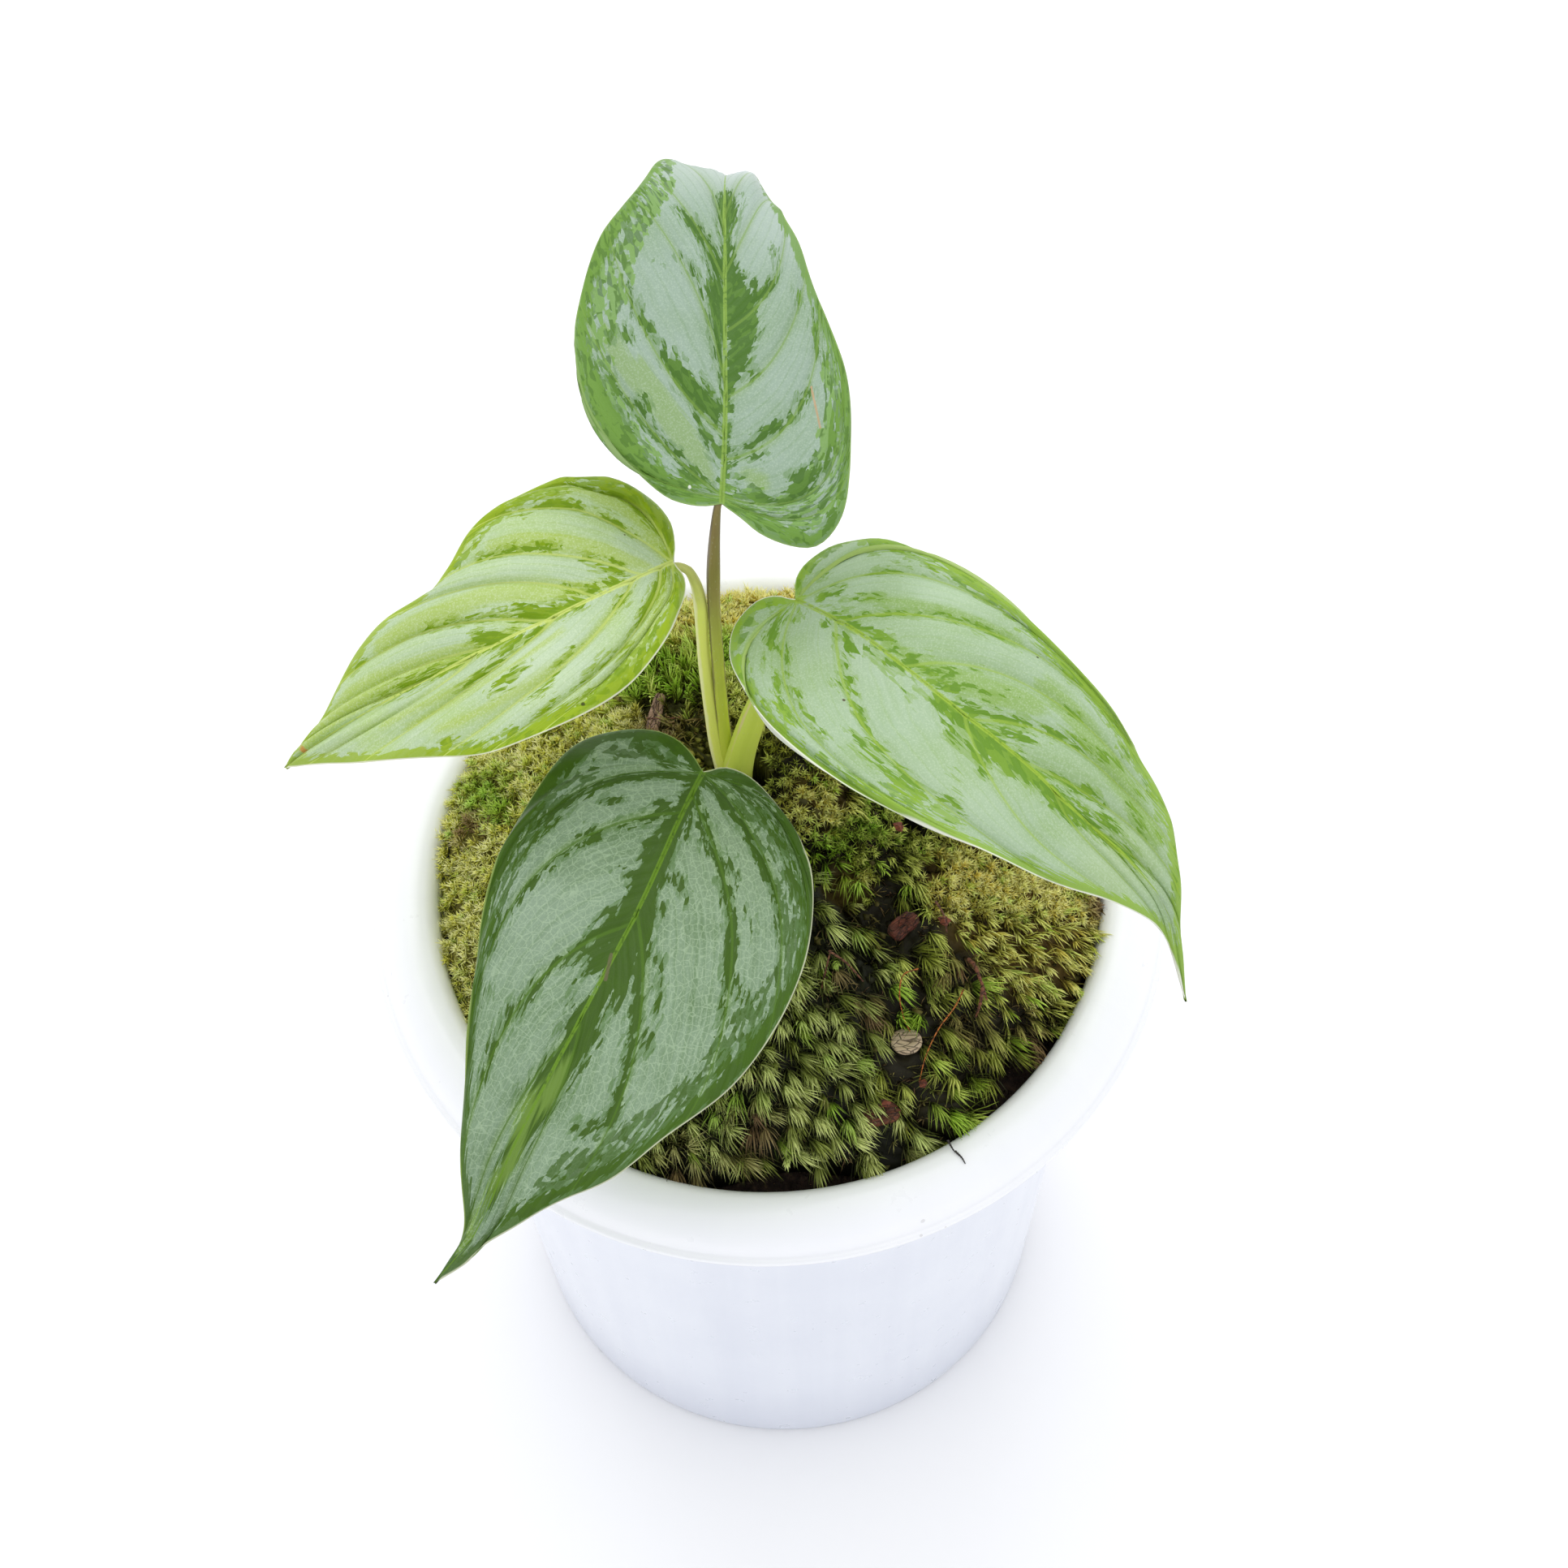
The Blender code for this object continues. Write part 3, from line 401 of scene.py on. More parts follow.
# How each kind of tuft grows: leaves, stem length, leaf length and width, how far the leaves stand off
# the stem low down and at its end, how much they hook over, lean in degrees, the lowest leaf's place,
# and where each leaf has its rings.
TUFTS = {
    "hooked": dict(
        leaves=27, stem=(2.0, 4.4), leaf=(2.3, 3.7), wide=0.34, open=(1.1, 0.25), hook=0.8, lean=32,
        low=0.25, levels=(-0.05, 0.3, 0.68)),
    "starry": dict(
        leaves=13, stem=(1.2, 3.8), leaf=(1.2, 2.0), wide=0.74, open=(1.45, 0.3), hook=0.12, lean=26,
        low=0.6, levels=(-0.1,)),
    "hairy": dict(
        leaves=10, stem=(3.0, 5.8), leaf=(2.4, 3.6), wide=0.3, open=(0.5, 0.15), hook=0.3, lean=32,
        low=0.1, levels=(-0.05, 0.3, 0.68)),
    "budded": dict(
        leaves=30, stem=(3.4, 4.8), leaf=(1.4, 2.0), wide=0.52, open=(0.62, 0.25), hook=0.05, lean=36,
        low=0.2, levels=(-0.1, 0.45)),
    "withered": dict(
        leaves=7, stem=(0.3, 1.6), leaf=(1.2, 2.8), wide=0.24, open=(1.5, 1.1), hook=0.25, lean=60,
        low=0.3, levels=(-0.1, 0.45)),
}

# Each patch: the angles it covers, its cushions' radii and height, how many tufts of each kind are sown,
# which way they are pushed, its share of gold, and its colours from the roots to the tips.
# The root colours are partly the moss's own and partly painted shade deep among the shoots.
MOSSES = {
    "moss_left": dict(
        angles=(132, 240), cushion=(3.5, 6.0), tall=3.2, growth=(("starry", 3350),),
        push=(0.0, 0.0), out=0.15, gold=0.3,
        root=(0.26, 0.23, 0.05), young=(0.86, 0.92, 0.12), pale=(1.0, 1.0, 0.46)),
    "moss_front": dict(
        angles=(240, 300), cushion=(4.0, 7.0), tall=3.4,
        growth=(("hooked", 375), ("budded", 60), ("withered", 430)), push=(0.35, -0.7), out=0.4, gold=0,
        root=(0.01, 0.011, 0.003), young=(0.26, 0.31, 0.045), pale=(0.8, 0.88, 0.32)),
    "moss_right": dict(
        angles=(300, 372), cushion=(4.0, 6.5), tall=3.6,
        growth=(("hooked", 300), ("starry", 3900), ("hairy", 1150), ("budded", 90), ("withered", 460)),
        push=(0.15, -0.75), out=0.3, gold=0,
        root=(0.014, 0.011, 0.003), young=(0.27, 0.31, 0.03), pale=(0.74, 0.8, 0.19)),
    "moss_back": dict(
        angles=(12, 132), cushion=(4.0, 6.5), tall=3.0,
        growth=(("starry", 3000), ("hairy", 1100), ("withered", 200)), push=(0.0, -0.2), out=0.1, gold=0.25,
        root=(0.06, 0.06, 0.01), young=(0.42, 0.5, 0.05), pale=(0.92, 0.98, 0.3)),
}
# Gold colours from the roots to the tips; the gold root colour is partly painted shade.
MOSS_GOLD_ROOT, MOSS_GOLD, MOSS_GOLD_PALE = (0.24, 0.15, 0.03), (0.92, 0.74, 0.13), (1.0, 0.95, 0.36)
MOSS_FRESH, MOSS_FRESH_PALE, MOSS_DEAD = (0.26, 0.5, 0.012), (0.46, 0.78, 0.07), (0.24, 0.13, 0.07)
# The painted light of the lowest leaves of each kind of tuft, of 1 for the highest: painted shade low in the
# tuft.
LOW_LEAF_PAINTED_LIGHT = {"starry": 0.48, "withered": 0.5, "hooked": 0.25, "hairy": 0.25, "budded": 0.25}
# The loose bits that lie on the moss, and how much of each one's box it covers.
BITS_ON_MOSS = (("bark_chip_back", 0.85), ("bark_chip_front", 0.85), ("seed_disc", 1.1), ("bark_strip", 0.9))

# Where the moss differs, and what it is there: the middle of each area and its radius.
MOSS_AREAS = {
    "starry": (
        (29, -3, 4.5), (36, -3, 6.5), (44, -4, 6), (49, -6, 5), (27, -8, 2.5), (40, 6, 9), (8, 6, 6),
        (17, 3, 6), (4, 12, 5), (26, 15, 12), (0, 50, 11), (12, 48, 9),
    ),
    "hairy": (
        (30, -13, 3.5), (36, -16, 6), (43, -14, 6), (48, -12, 5), (38, -23, 4), (44, -21, 5), (12, 8, 3),
        (7, 0, 3), (18, -1, 3), (-14, 35, 5), (-12, 27, 5), (-21, 33, 5), (-10, 41, 4),
    ),
    "budded": (
        (9, -6, 2.2), (12.5, -7.5, 2), (12, -18, 2.2), (17, -8.5, 2), (14.5, -31, 1.8), (20, -22, 2),
        (-1, -45, 1.6),
    ),
    "golden": (
        (29, -3, 5), (36, -3, 7), (44, -4, 7), (49, -6, 6), (40, 6, 10), (0, 50, 12), (-12, 46, 8),
        (12, 48, 10), (30, -13, 3), (37, -16, 5), (44, -14, 6), (49, -12, 5), (27, -8, 3), (12, -6, 3),
        (8, 8, 4),
    ),
    "bare": (
        (2.3, -48.5, 3.2), (14.8, -45.8, 2), (17.5, -12.7, 2.4), (25.2, -2.6, 2.2), (34.2, -33.6, 3),
        (6.2, -13.8, 1.6), (22, 6, 2), (-39, 14, 1.6), (-10, 19, 2.4),
    ),
    "dead": (
        (-4, -40.4, 2.6), (-16.8, -46.5, 3.4), (-10.7, -47.7, 3.2), (15, -43.6, 2), (27.8, -17.7, 2.4),
        (10.8, -19.6, 2.2), (50.3, -5.7, 2.4), (46.4, 1.9, 2.4), (14.3, -24, 1.8), (22.8, -36.8, 1.6),
        (27.8, -27, 2.4), (38, -27, 2.6), (42, -31, 2.6), (-49, 28, 2.6), (-43.7, 31.5, 2.6), (-45, 11, 2),
        (-15, 22, 4), (-8, 23, 2.5),
    ),
    "fresh": (
        (23.2, -39, 2.6), (31.4, -38.7, 2.4), (29.6, -36.3, 2.2), (16.8, -22.7, 2.2), (-42.8, 17.2, 3),
        (-40, 13, 2), (21, -35.7, 2), (10.9, -17.7, 2), (20.4, -25, 2), (-14, 34, 4), (-11, 28, 4),
        (-5, 36, 4), (-20, 31, 3), (9, 1, 2.5), (15, 4, 2),
    ),
}


def moss_reach(angle):
    """How far the moss goes out from the crown in each direction, less where soil shows."""
    out = reach(angle, MOSS_EDGE)
    for _ in range(3):
        x, y = from_crown(angle, out)
        radius = np.full(np.shape(angle), float(MOSS_EDGE))
        for middle, half_width, depth in MOSS_BAYS:
            off = (np.degrees(np.arctan2(y, x)) - middle + 180) % 360 - 180
            radius = radius - depth * np.exp(-((off / half_width) ** 2))
        out = reach(angle, radius)
    return out


def moss_place(angles, across, share):
    """Across runs from one border of a patch to the other, share from the crown to the wall."""
    seam = 0.12 * np.sin(5.5 * share) + 0.05 * np.sin(13 * share + 1)
    angle = angles[0] + across * (angles[1] - angles[0]) + seam
    return from_crown(angle, MOSS_HOLE + share * (moss_reach(angle) - MOSS_HOLE))


def moss_cushions(number, angles, radii, tall):
    """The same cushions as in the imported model: place, radius and height of each."""
    random.seed(20 + number)
    cushions = []
    for _ in range(CUSHIONS):
        across, share = random.uniform(0.02, 0.98), random.uniform(0.05, 0.97) ** 0.7
        x, y = moss_place(angles, np.array(across), np.array(share))
        cushions.append((x, y, random.uniform(*radii), tall * random.uniform(0.7, 1.25)))
    return np.array(cushions, float)


def moss_height(x, y, cushions):
    """A dome that is higher at the back, with cushions on it that meet in creases."""
    back = np.maximum(0, y / MOSS_EDGE)
    dome = MOSS_EDGE_HEIGHT + MOSS_DOME * (1 - (x**2 + y**2) / MOSS_EDGE**2)
    dome = dome + MOSS_BACK_RISE * back * (2 - back) / 2
    height = np.zeros_like(x)
    for centre_x, centre_y, radius, tall in cushions:
        inside = 1 - ((x - centre_x) ** 2 + (y - centre_y) ** 2) / radius**2
        height = np.maximum(height, tall * np.sqrt(np.maximum(0, inside)))
    return dome + height


def moss_slope(x, y, cushions):
    """The direction straight off the moss, eased so that shoots don't all fan out of each cushion."""
    slopes = []
    for step_x, step_y in ((SLOPE_STEP, 0), (0, SLOPE_STEP)):
        ahead = moss_height(x + step_x, y + step_y, cushions)
        behind = moss_height(x - step_x, y - step_y, cushions)
        slopes.append(-np.clip((ahead - behind) / (2 * SLOPE_STEP), -STEEPEST, STEEPEST))
    return one_long(np.stack([*slopes, np.ones_like(x)], 1))


def one_long(vectors):
    return vectors / np.maximum(1e-9, np.linalg.norm(vectors, axis=-1, keepdims=True))


def moss_share(x, y, what):
    """How much the moss at each place is what the areas say, from 0 to 1."""
    share = np.zeros_like(x)
    for centre_x, centre_y, radius in MOSS_AREAS.get(what, ()):
        off = np.hypot(x - centre_x, y - centre_y) / radius
        share = np.maximum(share, np.clip(1.6 - off, 0, 1))
    return share


def grow_leaves(root, aim, hook, length, wide, levels):
    """Closed pointed leaves of triangular section, each along its own bent line.

    Returns their points, their faces and each point's share of the way to the tip.
    """
    count, rings = len(root), len(levels)
    points = np.empty((count, 3 * rings + 1, 3))
    for ring, share in enumerate(levels):
        middle = root + (aim * share + hook * share**2) * length[:, None]
        heading = one_long(aim + 2 * hook * share)
        side = one_long(np.cross(heading, aim[:, [1, 2, 0]] + 0.13))
        face = np.cross(side, heading)
        swell = (0.6, 1.0, 0.7)[ring] * wide[:, None] / 2
        points[:, 3 * ring] = middle - side * swell
        points[:, 3 * ring + 1] = middle + side * swell
        points[:, 3 * ring + 2] = middle + face * swell * 0.8
    points[:, -1] = root + (aim + hook) * length[:, None]
    tip = 3 * rings
    faces = [(0, 2, 1)]
    for ring in range(rings - 1):
        for corner in range(3):
            a, b = 3 * ring + corner, 3 * ring + (corner + 1) % 3
            faces += [(a, b, b + 3), (a, b + 3, a + 3)]
    faces += [(tip - 3 + corner, tip - 3 + (corner + 1) % 3, tip) for corner in range(3)]
    faces = (np.arange(count)[:, None, None] * (tip + 1) + np.array(faces)).reshape(-1, 3)
    share = np.concatenate([np.repeat(np.maximum(0, levels), 3), [1.0]])
    return points.reshape(-1, 3), faces, np.tile(share, count)


def tuft_leaves(chance, foot, up, push, tuft):
    """Where each small leaf of every tuft starts, points and hooks, its length and its place up the stem."""
    count, leaves = len(foot), tuft["leaves"]
    stem = chance.uniform(*tuft["stem"], count)
    loose = math.tan(math.radians(tuft["lean"]))
    ahead = one_long(up + chance.normal(0, 0.55 * loose, (count, 3)) + push * loose)
    order = (np.arange(leaves) + 0.5) / leaves
    along = tuft["low"] + (1 - tuft["low"]) * order
    turn = np.arange(leaves) * LEAF_TURN + chance.uniform(0, math.tau, (count, 1))
    spread = np.interp(order**0.8, (0, 1), tuft["open"]) * chance.uniform(0.85, 1.15, (count, leaves))
    side = one_long(np.cross(ahead, chance.normal(size=(count, 3))))
    other = np.cross(ahead, side)
    outward = side[:, None] * np.cos(turn)[..., None] + other[:, None] * np.sin(turn)[..., None]
    root = foot[:, None] + ahead[:, None] * (along * stem[:, None])[..., None]
    aim = one_long(ahead[:, None] * np.cos(spread)[..., None] + outward * np.sin(spread)[..., None])
    hook = one_long(push + chance.normal(0, 0.45, (count, 3)) - (0, 0, 0.3))[:, None] * tuft["hook"]
    hook = hook + chance.normal(0, 0.06, aim.shape)
    size = chance.uniform(*tuft["leaf"], (count, leaves)) * (1.1 - 0.3 * order)
    return root, aim, hook, size, np.broadcast_to(order, (count, leaves))


def moss_shades():
    """Painted light and shade from a leaf's root to its tip and between tufts, with patches of each."""
    tree, recipe, given = new_group(
        "moss_shades", ("Place",), ("Tone", "Glow", "Dead", "Seed"), ("Depth", "Pale", "Dead", "Rough"))
    start = recipe.vector(given["Seed"], 0)
    moved = recipe.node("VectorMath", given["Place"], start, operation="ADD").outputs[0]
    broad = recipe.noise(moved, 110, 3)
    spots = recipe.noise(moved, 330, 2)
    bright = recipe.plus(given["Glow"], recipe.times(given["Tone"], 0.45))
    bright = recipe.plus(bright, recipe.scaled(broad, 0.8, -0.4))
    gone = recipe.plus(recipe.times(spots, 0.75), recipe.times(given["Tone"], 0.25))
    gone = recipe.times(recipe.rise(gone, 0.34, 0.26), 0.49)
    recipe.result(
        Depth=recipe.rise(given["Glow"], 0.12, 0.62), Pale=recipe.rise(bright, 0.52, 1.2),
        Dead=recipe.math("MAXIMUM", gone, given["Dead"]), Rough=recipe.scaled(broad, 0.3, 0.5))
    return tree


def moss_green(name, number, moss):
    material, recipe = new_finish(name + "_living", specular_ior_level=0.3)
    shades = recipe.use(
        MOSS_SHADES, Place=recipe.place(), Tone=recipe.read("tone"), Glow=recipe.read("glow"),
        Dead=recipe.read("dead"), Seed=0.7 * number)
    gold, fresh = recipe.read("gold"), recipe.times(recipe.read("fresh"), 0.85)
    young = recipe.mix(fresh, recipe.mix(gold, moss["young"], MOSS_GOLD), MOSS_FRESH)
    pale = recipe.mix(fresh, recipe.mix(gold, moss["pale"], MOSS_GOLD_PALE), MOSS_FRESH_PALE)
    root = recipe.mix(gold, moss["root"], MOSS_GOLD_ROOT)
    # Painted light and shade: each leaf goes from the root colour, dark as painted shade deep in the moss, to
    # the young colour where it is painted lit.
    colour = recipe.mix(shades["Depth"], root, young)
    colour = recipe.mix(shades["Pale"], colour, pale)
    recipe.dress(
        base_color=recipe.mix(shades["Dead"], colour, recipe.mix(shades["Depth"], root, MOSS_DEAD)),
        roughness=shades["Rough"], normal=recipe.bump(recipe.noise(recipe.place(), 2600, 2), 0.4, 0.15))
    return material


def make_bed(name, angles, cushions, moss, material, chance):
    """The spongy bed under the shoots, with walls down to a flat underside."""
    columns = round(math.degrees(angles[1] - angles[0]) / BED_COLUMN)
    rings = np.linspace(0, 1, BED_RINGS + 1)
    share, across = np.meshgrid(rings, np.linspace(0, 1, columns + 1), indexing="ij")
    x, y = moss_place(angles, across.ravel(), share.ravel())
    edge = (np.minimum(share, 1 - share) > 0) & (np.minimum(across, 1 - across) > 0)
    bare = moss_share(x, y, "bare")
    rough = (chance.uniform(-1.1, 1.1, edge.size) - 2.2 * bare) * edge.ravel()
    top = np.stack([x, y, moss_height(x, y, cushions) + rough], 1)
    wide = columns + 1
    faces = as_triangles(ring_faces(BED_RINGS + 1, wide, closed=False))
    border = np.concatenate([
        np.arange(columns), np.arange(BED_RINGS) * wide + columns,
        BED_RINGS * wide + np.arange(columns, 0, -1), np.arange(BED_RINGS, 0, -1) * wide])
    under = len(top) + np.arange(len(border))
    walls = as_triangles(np.stack([border, under, np.roll(under, -1), np.roll(border, -1)], 1))
    middle = len(top) + len(border)
    floor = np.stack([np.full(len(border), middle), np.roll(under, -1), under], 1)
    low = top[border] * (1, 1, 0) + (0, 0, MOSS_UNDERSIDE)
    points = np.vstack([top, low, [low.mean(0)]])
    strewn = np.flatnonzero(edge.ravel() & (chance.uniform(0, 1, len(top)) < 0.06 + 0.5 * bare))
    crumbs, crumb_faces = crumb_shapes(
        top[strewn] + chance.normal(0, 0.5, (len(strewn), 3)), chance.uniform(0.35, 1.1, len(strewn)), chance)
    faces = np.vstack([faces[:, ::-1], walls[:, ::-1], floor[:, ::-1], crumb_faces + len(points)])
    points = np.vstack([points, crumbs])
    bed = new_piece(name + "_bed", points * MM, faces, material)
    zero = np.zeros(len(points))
    sunk = np.concatenate([bare, np.ones(len(points) - len(bare))])
    golden = np.concatenate([0.5 * moss_share(x, y, "golden"), np.zeros(len(points) - len(bare))])
    # Painted shade: the bed's painted light is low under the shoots, none where it sinks at bare patches, and
    # more in gold.
    bed_painted_light = (0.04 + 0.16 * chance.uniform(0, 1, len(points))) * (1 - sunk) * (1 + 2 * moss["gold"])
    bed_painted_light[-len(crumbs):] = np.repeat(chance.uniform(0.05, 0.45, len(strewn)), CRUMB_SIDES + 2)
    give(bed, tone=zero, glow=bed_painted_light, dead=zero + 0.5, gold=golden, fresh=zero)
    settle(bed, name)


def together(shapes):
    """The points in metres and the faces of several shapes as one."""
    starts = np.cumsum([0] + [len(shape[0]) for shape in shapes])
    faces = [shape[1] + start for shape, start in zip(shapes, starts)]
    return np.vstack([shape[0] for shape in shapes]) * MM, np.vstack(faces)


def lies_under_a_bit(x, y):
    """True where a loose bit rests, so that no tuft stands through it."""
    hidden = np.zeros(len(x), bool)
    for node, share in BITS_ON_MOSS:
        low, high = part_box(node)
        middle, half = (low + high) / 2 / MM, (high - low) / 2 / MM * share
        hidden |= ((x - middle[0]) / half[0]) ** 2 + ((y - middle[1]) / half[1]) ** 2 < 1
    return hidden


def tufts_of(kind, count, angles, cushions, moss, chance):
    """All the tufts of one kind in a patch: points, faces and what their material reads."""
    order = np.arange(count) + 0.5
    across = (order * 0.754878) % 1 + chance.normal(0, 0.01, count)
    share = np.sqrt((order * 0.56984) % 1) + chance.normal(0, 0.008, count)
    x, y = moss_place(angles, np.clip(across, 0.005, 0.995), np.clip(share, 0.02, 0.985))
    kinds = [other for other in TUFTS if other != "withered"]
    claims = np.array([moss_share(x, y, other) + 0.01 * rank for rank, other in enumerate(kinds)])
    claims[kinds.index(moss["growth"][0][0])] += 0.35
    kept = moss_share(x, y, "golden") + moss["gold"] < 0.3
    if kind != "withered":
        kept = (claims.argmax(0) == kinds.index(kind)) & (claims.max(0) > 0.1)
    kept &= moss_share(x, y, "bare") < 0.6
    kept &= ~lies_under_a_bit(x, y)
    x, y, tuft = x[kept], y[kept], TUFTS[kind]
    foot = np.stack([x, y, moss_height(x, y, cushions) - TUFT_SUNK], 1)
    outward = one_long(np.stack([x - CROWN_AT[0], y - CROWN_AT[1], np.zeros_like(x)], 1))
    push = outward * moss["out"] + (*moss["push"], 0)
    root, aim, hook, size, height = tuft_leaves(chance, foot, moss_slope(x, y, cushions), push, tuft)
    wide = tuft["wide"] * chance.uniform(0.75, 1.25, size.size)
    points, faces, share = grow_leaves(
        root.reshape(-1, 3), aim.reshape(-1, 3), hook.reshape(-1, 3), size.ravel(), wide, tuft["levels"])
    corners = 3 * len(tuft["levels"]) + 1
    leaves = tuft["leaves"]
    mood = chance.uniform(0, 1, len(x))
    tone = np.repeat(mood, leaves) * 0.7 + chance.uniform(0, 0.3, size.size)
    low = LOW_LEAF_PAINTED_LIGHT[kind]
    gold = moss["gold"] + (0.95 if kind == "starry" else 0.6) * moss_share(x, y, "golden")
    dead = moss_share(x, y, "dead") * 0.9 if kind != "withered" else chance.uniform(0.6, 1, len(x))
    fresh = np.maximum(moss_share(x, y, "fresh"), chance.uniform(-3, 0.8, len(x)))
    # Each tuft's painted light differs at random from tuft to tuft, as painted shade between tufts, and is
    # raised in gold.
    per_tuft = dict(
        dead=dead, fresh=np.maximum(0, fresh), gold=np.minimum(1, gold * chance.uniform(0.6, 1.1, len(x))),
        light=(0.66 + 0.5 * mood) * (1 + 0.6 * np.minimum(1, gold)))
    values = {key: np.repeat(value, leaves * corners) for key, value in per_tuft.items()}
    # Painted light up each tuft: painted shade on the lower leaves and at each leaf's root.
    glow = (low + (1 - low) * np.repeat(height.ravel(), corners)) * (0.45 + 0.55 * share)
    glow = glow * values.pop("light")
    return points, faces, dict(values, tone=np.repeat(tone, corners), glow=glow)


def make_moss():
    for number, (name, moss) in enumerate(MOSSES.items()):
        angles = tuple(math.radians(angle) for angle in moss["angles"])
        cushions = moss_cushions(number, angles, moss["cushion"], moss["tall"])
        chance = np.random.default_rng(40 + number)
        material = moss_green(name, number, moss)
        make_bed(name, angles, cushions, moss, material, chance)
        grown = [tufts_of(kind, count, angles, cushions, moss, chance) for kind, count in moss["growth"]]
        shoots = new_piece(name + "_shoots", *together(grown), material)
        give(shoots, **{key: np.concatenate([part[2][key] for part in grown]) for key in grown[0][2]})
        settle(shoots, name)


MOSS_SHADES = moss_shades()
make_moss()

# The stems. A short crown stands in the soil's hole, and four juicy stalks grow out of it, one to
# each leaf; the right one is sheathed at its foot, where the last old leaf was cut away.
STALKS = {
    "leaf_back": (
        (-4.6, 13.6, 126, 1.8), (-5, 14.6, 134, 1.4), (-5.6, 16.8, 144, 1.1), (-5.8, 19.6, 162.5, 1),
        (-5.8, 21.2, 174, 0.95), (-5.3, 22.1, 186, 0.95), (-4.4, 23.1, 196.2, 1),
        (-3.75, 23.6, 197.5, 0.8), (-3.5, 25.6, 198.55, 0.4),
    ),
    "leaf_left": (
        (-5.2, 13.8, 126, 1.8), (-5.8, 14.6, 134, 1.5), (-7, 16.7, 142, 1.2), (-7.8, 20, 159, 1.05),
        (-7.9, 21.5, 174, 1.05), (-9, 21.5, 181.6, 1), (-10.5, 21.6, 183.4, 1),
        (-11.6, 21.1, 184.3, 0.8), (-13.4, 20, 185.1, 0.45),
    ),
    "leaf_right": (
        (-4.4, 13.4, 126, 2.6), (-4, 13.8, 134, 2.5), (-2.6, 14.5, 142, 2.2), (-0.7, 15.2, 150, 1.9),
        (2.6, 16.6, 163, 1.4), (6, 18, 176.2, 1.2),
        (6.8, 17.5, 177.2, 0.95), (8.4, 16, 178.35, 0.45),
    ),
    "leaf_front": (
        (-4.8, 13, 126, 1.8), (-5, 11.8, 134, 1.6), (-5.4, 7.8, 143, 1.4), (-6.4, 2.8, 153, 1.2),
        (-8.3, -2.6, 163.3, 1.2), (-9, -3.6, 164.25, 0.95), (-9.7, -5.4, 165, 0.45),
    ),
}
# Colours up each stalk from its foot to the blade, and of the seam along one side. The skins of the left
# and right stalks and of the back stalk's lower part are partly painted light, lighter than their own
# colour as light shining through them in the leaves' shade.
STALK_COLOURS = {
    "crown": {
        "skin": ((0, (0.2, 0.14, 0.07)), (0.5, (0.3, 0.28, 0.08)), (1, (0.36, 0.4, 0.09))),
        "seam": (0.35, 0.22, 0.15), "at": 0.4, "wide": 0.12},
    "leaf_back": {
        "skin": (
            (0, (0.72, 0.74, 0.1)), (0.25, (0.62, 0.7, 0.07)), (0.5, (0.44, 0.5, 0.06)),
            (0.72, (0.28, 0.24, 0.06)), (0.85, (0.25, 0.18, 0.07)), (1, (0.26, 0.19, 0.07))),
        "seam": (0.13, 0.075, 0.07), "at": 0.27, "twin": 1.0, "wide": 0.09},
    "leaf_left": {
        "skin": (
            (0, (0.9, 0.62, 0.2)), (0.12, (0.94, 0.96, 0.2)), (0.75, (0.84, 0.92, 0.18)),
            (0.88, (0.6, 0.63, 0.17)), (1, (0.6, 0.6, 0.19))),
        # The left stalk's cream seam is a painted highlight along it.
        "seam": (1.0, 0.98, 0.62), "at": 0.31, "wide": 0.09},
    "leaf_right": {
        "skin": ((0, (0.66, 0.74, 0.12)), (0.4, (0.67, 0.78, 0.1)), (1, (0.46, 0.6, 0.08))),
        "seam": (0.8, 0.64, 0.38), "at": 0.29, "wide": 0.05},
    "leaf_front": {
        "skin": ((0, (0.34, 0.42, 0.06)), (0.6, (0.28, 0.38, 0.05)), (1, (0.24, 0.34, 0.04))),
        "seam": (0.3, 0.22, 0.1), "at": 0.3, "wide": 0.1},
}
STALK_SIDES = 20
STALK_RINGS = 72
CROWN_RINGS = 40
CROWN_RADIUS = 4.4
# The crown's height at each level, and its share of the radius there.
CROWN_LEVELS = ((98.3, 0.8), (101, 1.0), (117.9, 1.0), (128, 0.8), (134, 0.55), (137, 0.4))


def smooth_curve(points, count):
    """Evenly spaced places along a smooth curve through the points, and their distance along it."""
    points = np.array(points, float)
    ends = np.vstack([2 * points[0] - points[1], points, 2 * points[-1] - points[-2]])
    steps = np.linspace(0, 1, 40, endpoint=False)[:, None]
    pieces = []
    for first, start, end, last in zip(ends, ends[1:], ends[2:], ends[3:]):
        slope = (end - first) / 2
        bend = first - 2.5 * start + 2 * end - last / 2
        twist = (3 * start - first - 3 * end + last) / 2
        pieces.append(start + slope * steps + bend * steps**2 + twist * steps**3)
    dense = np.vstack([*pieces, points[-1:]])
    along = np.r_[0, np.cumsum(np.linalg.norm(np.diff(dense, axis=0), axis=1))]
    even = np.linspace(0, along[-1], count)
    return even, np.stack([np.interp(even, along, column) for column in dense.T], axis=1)


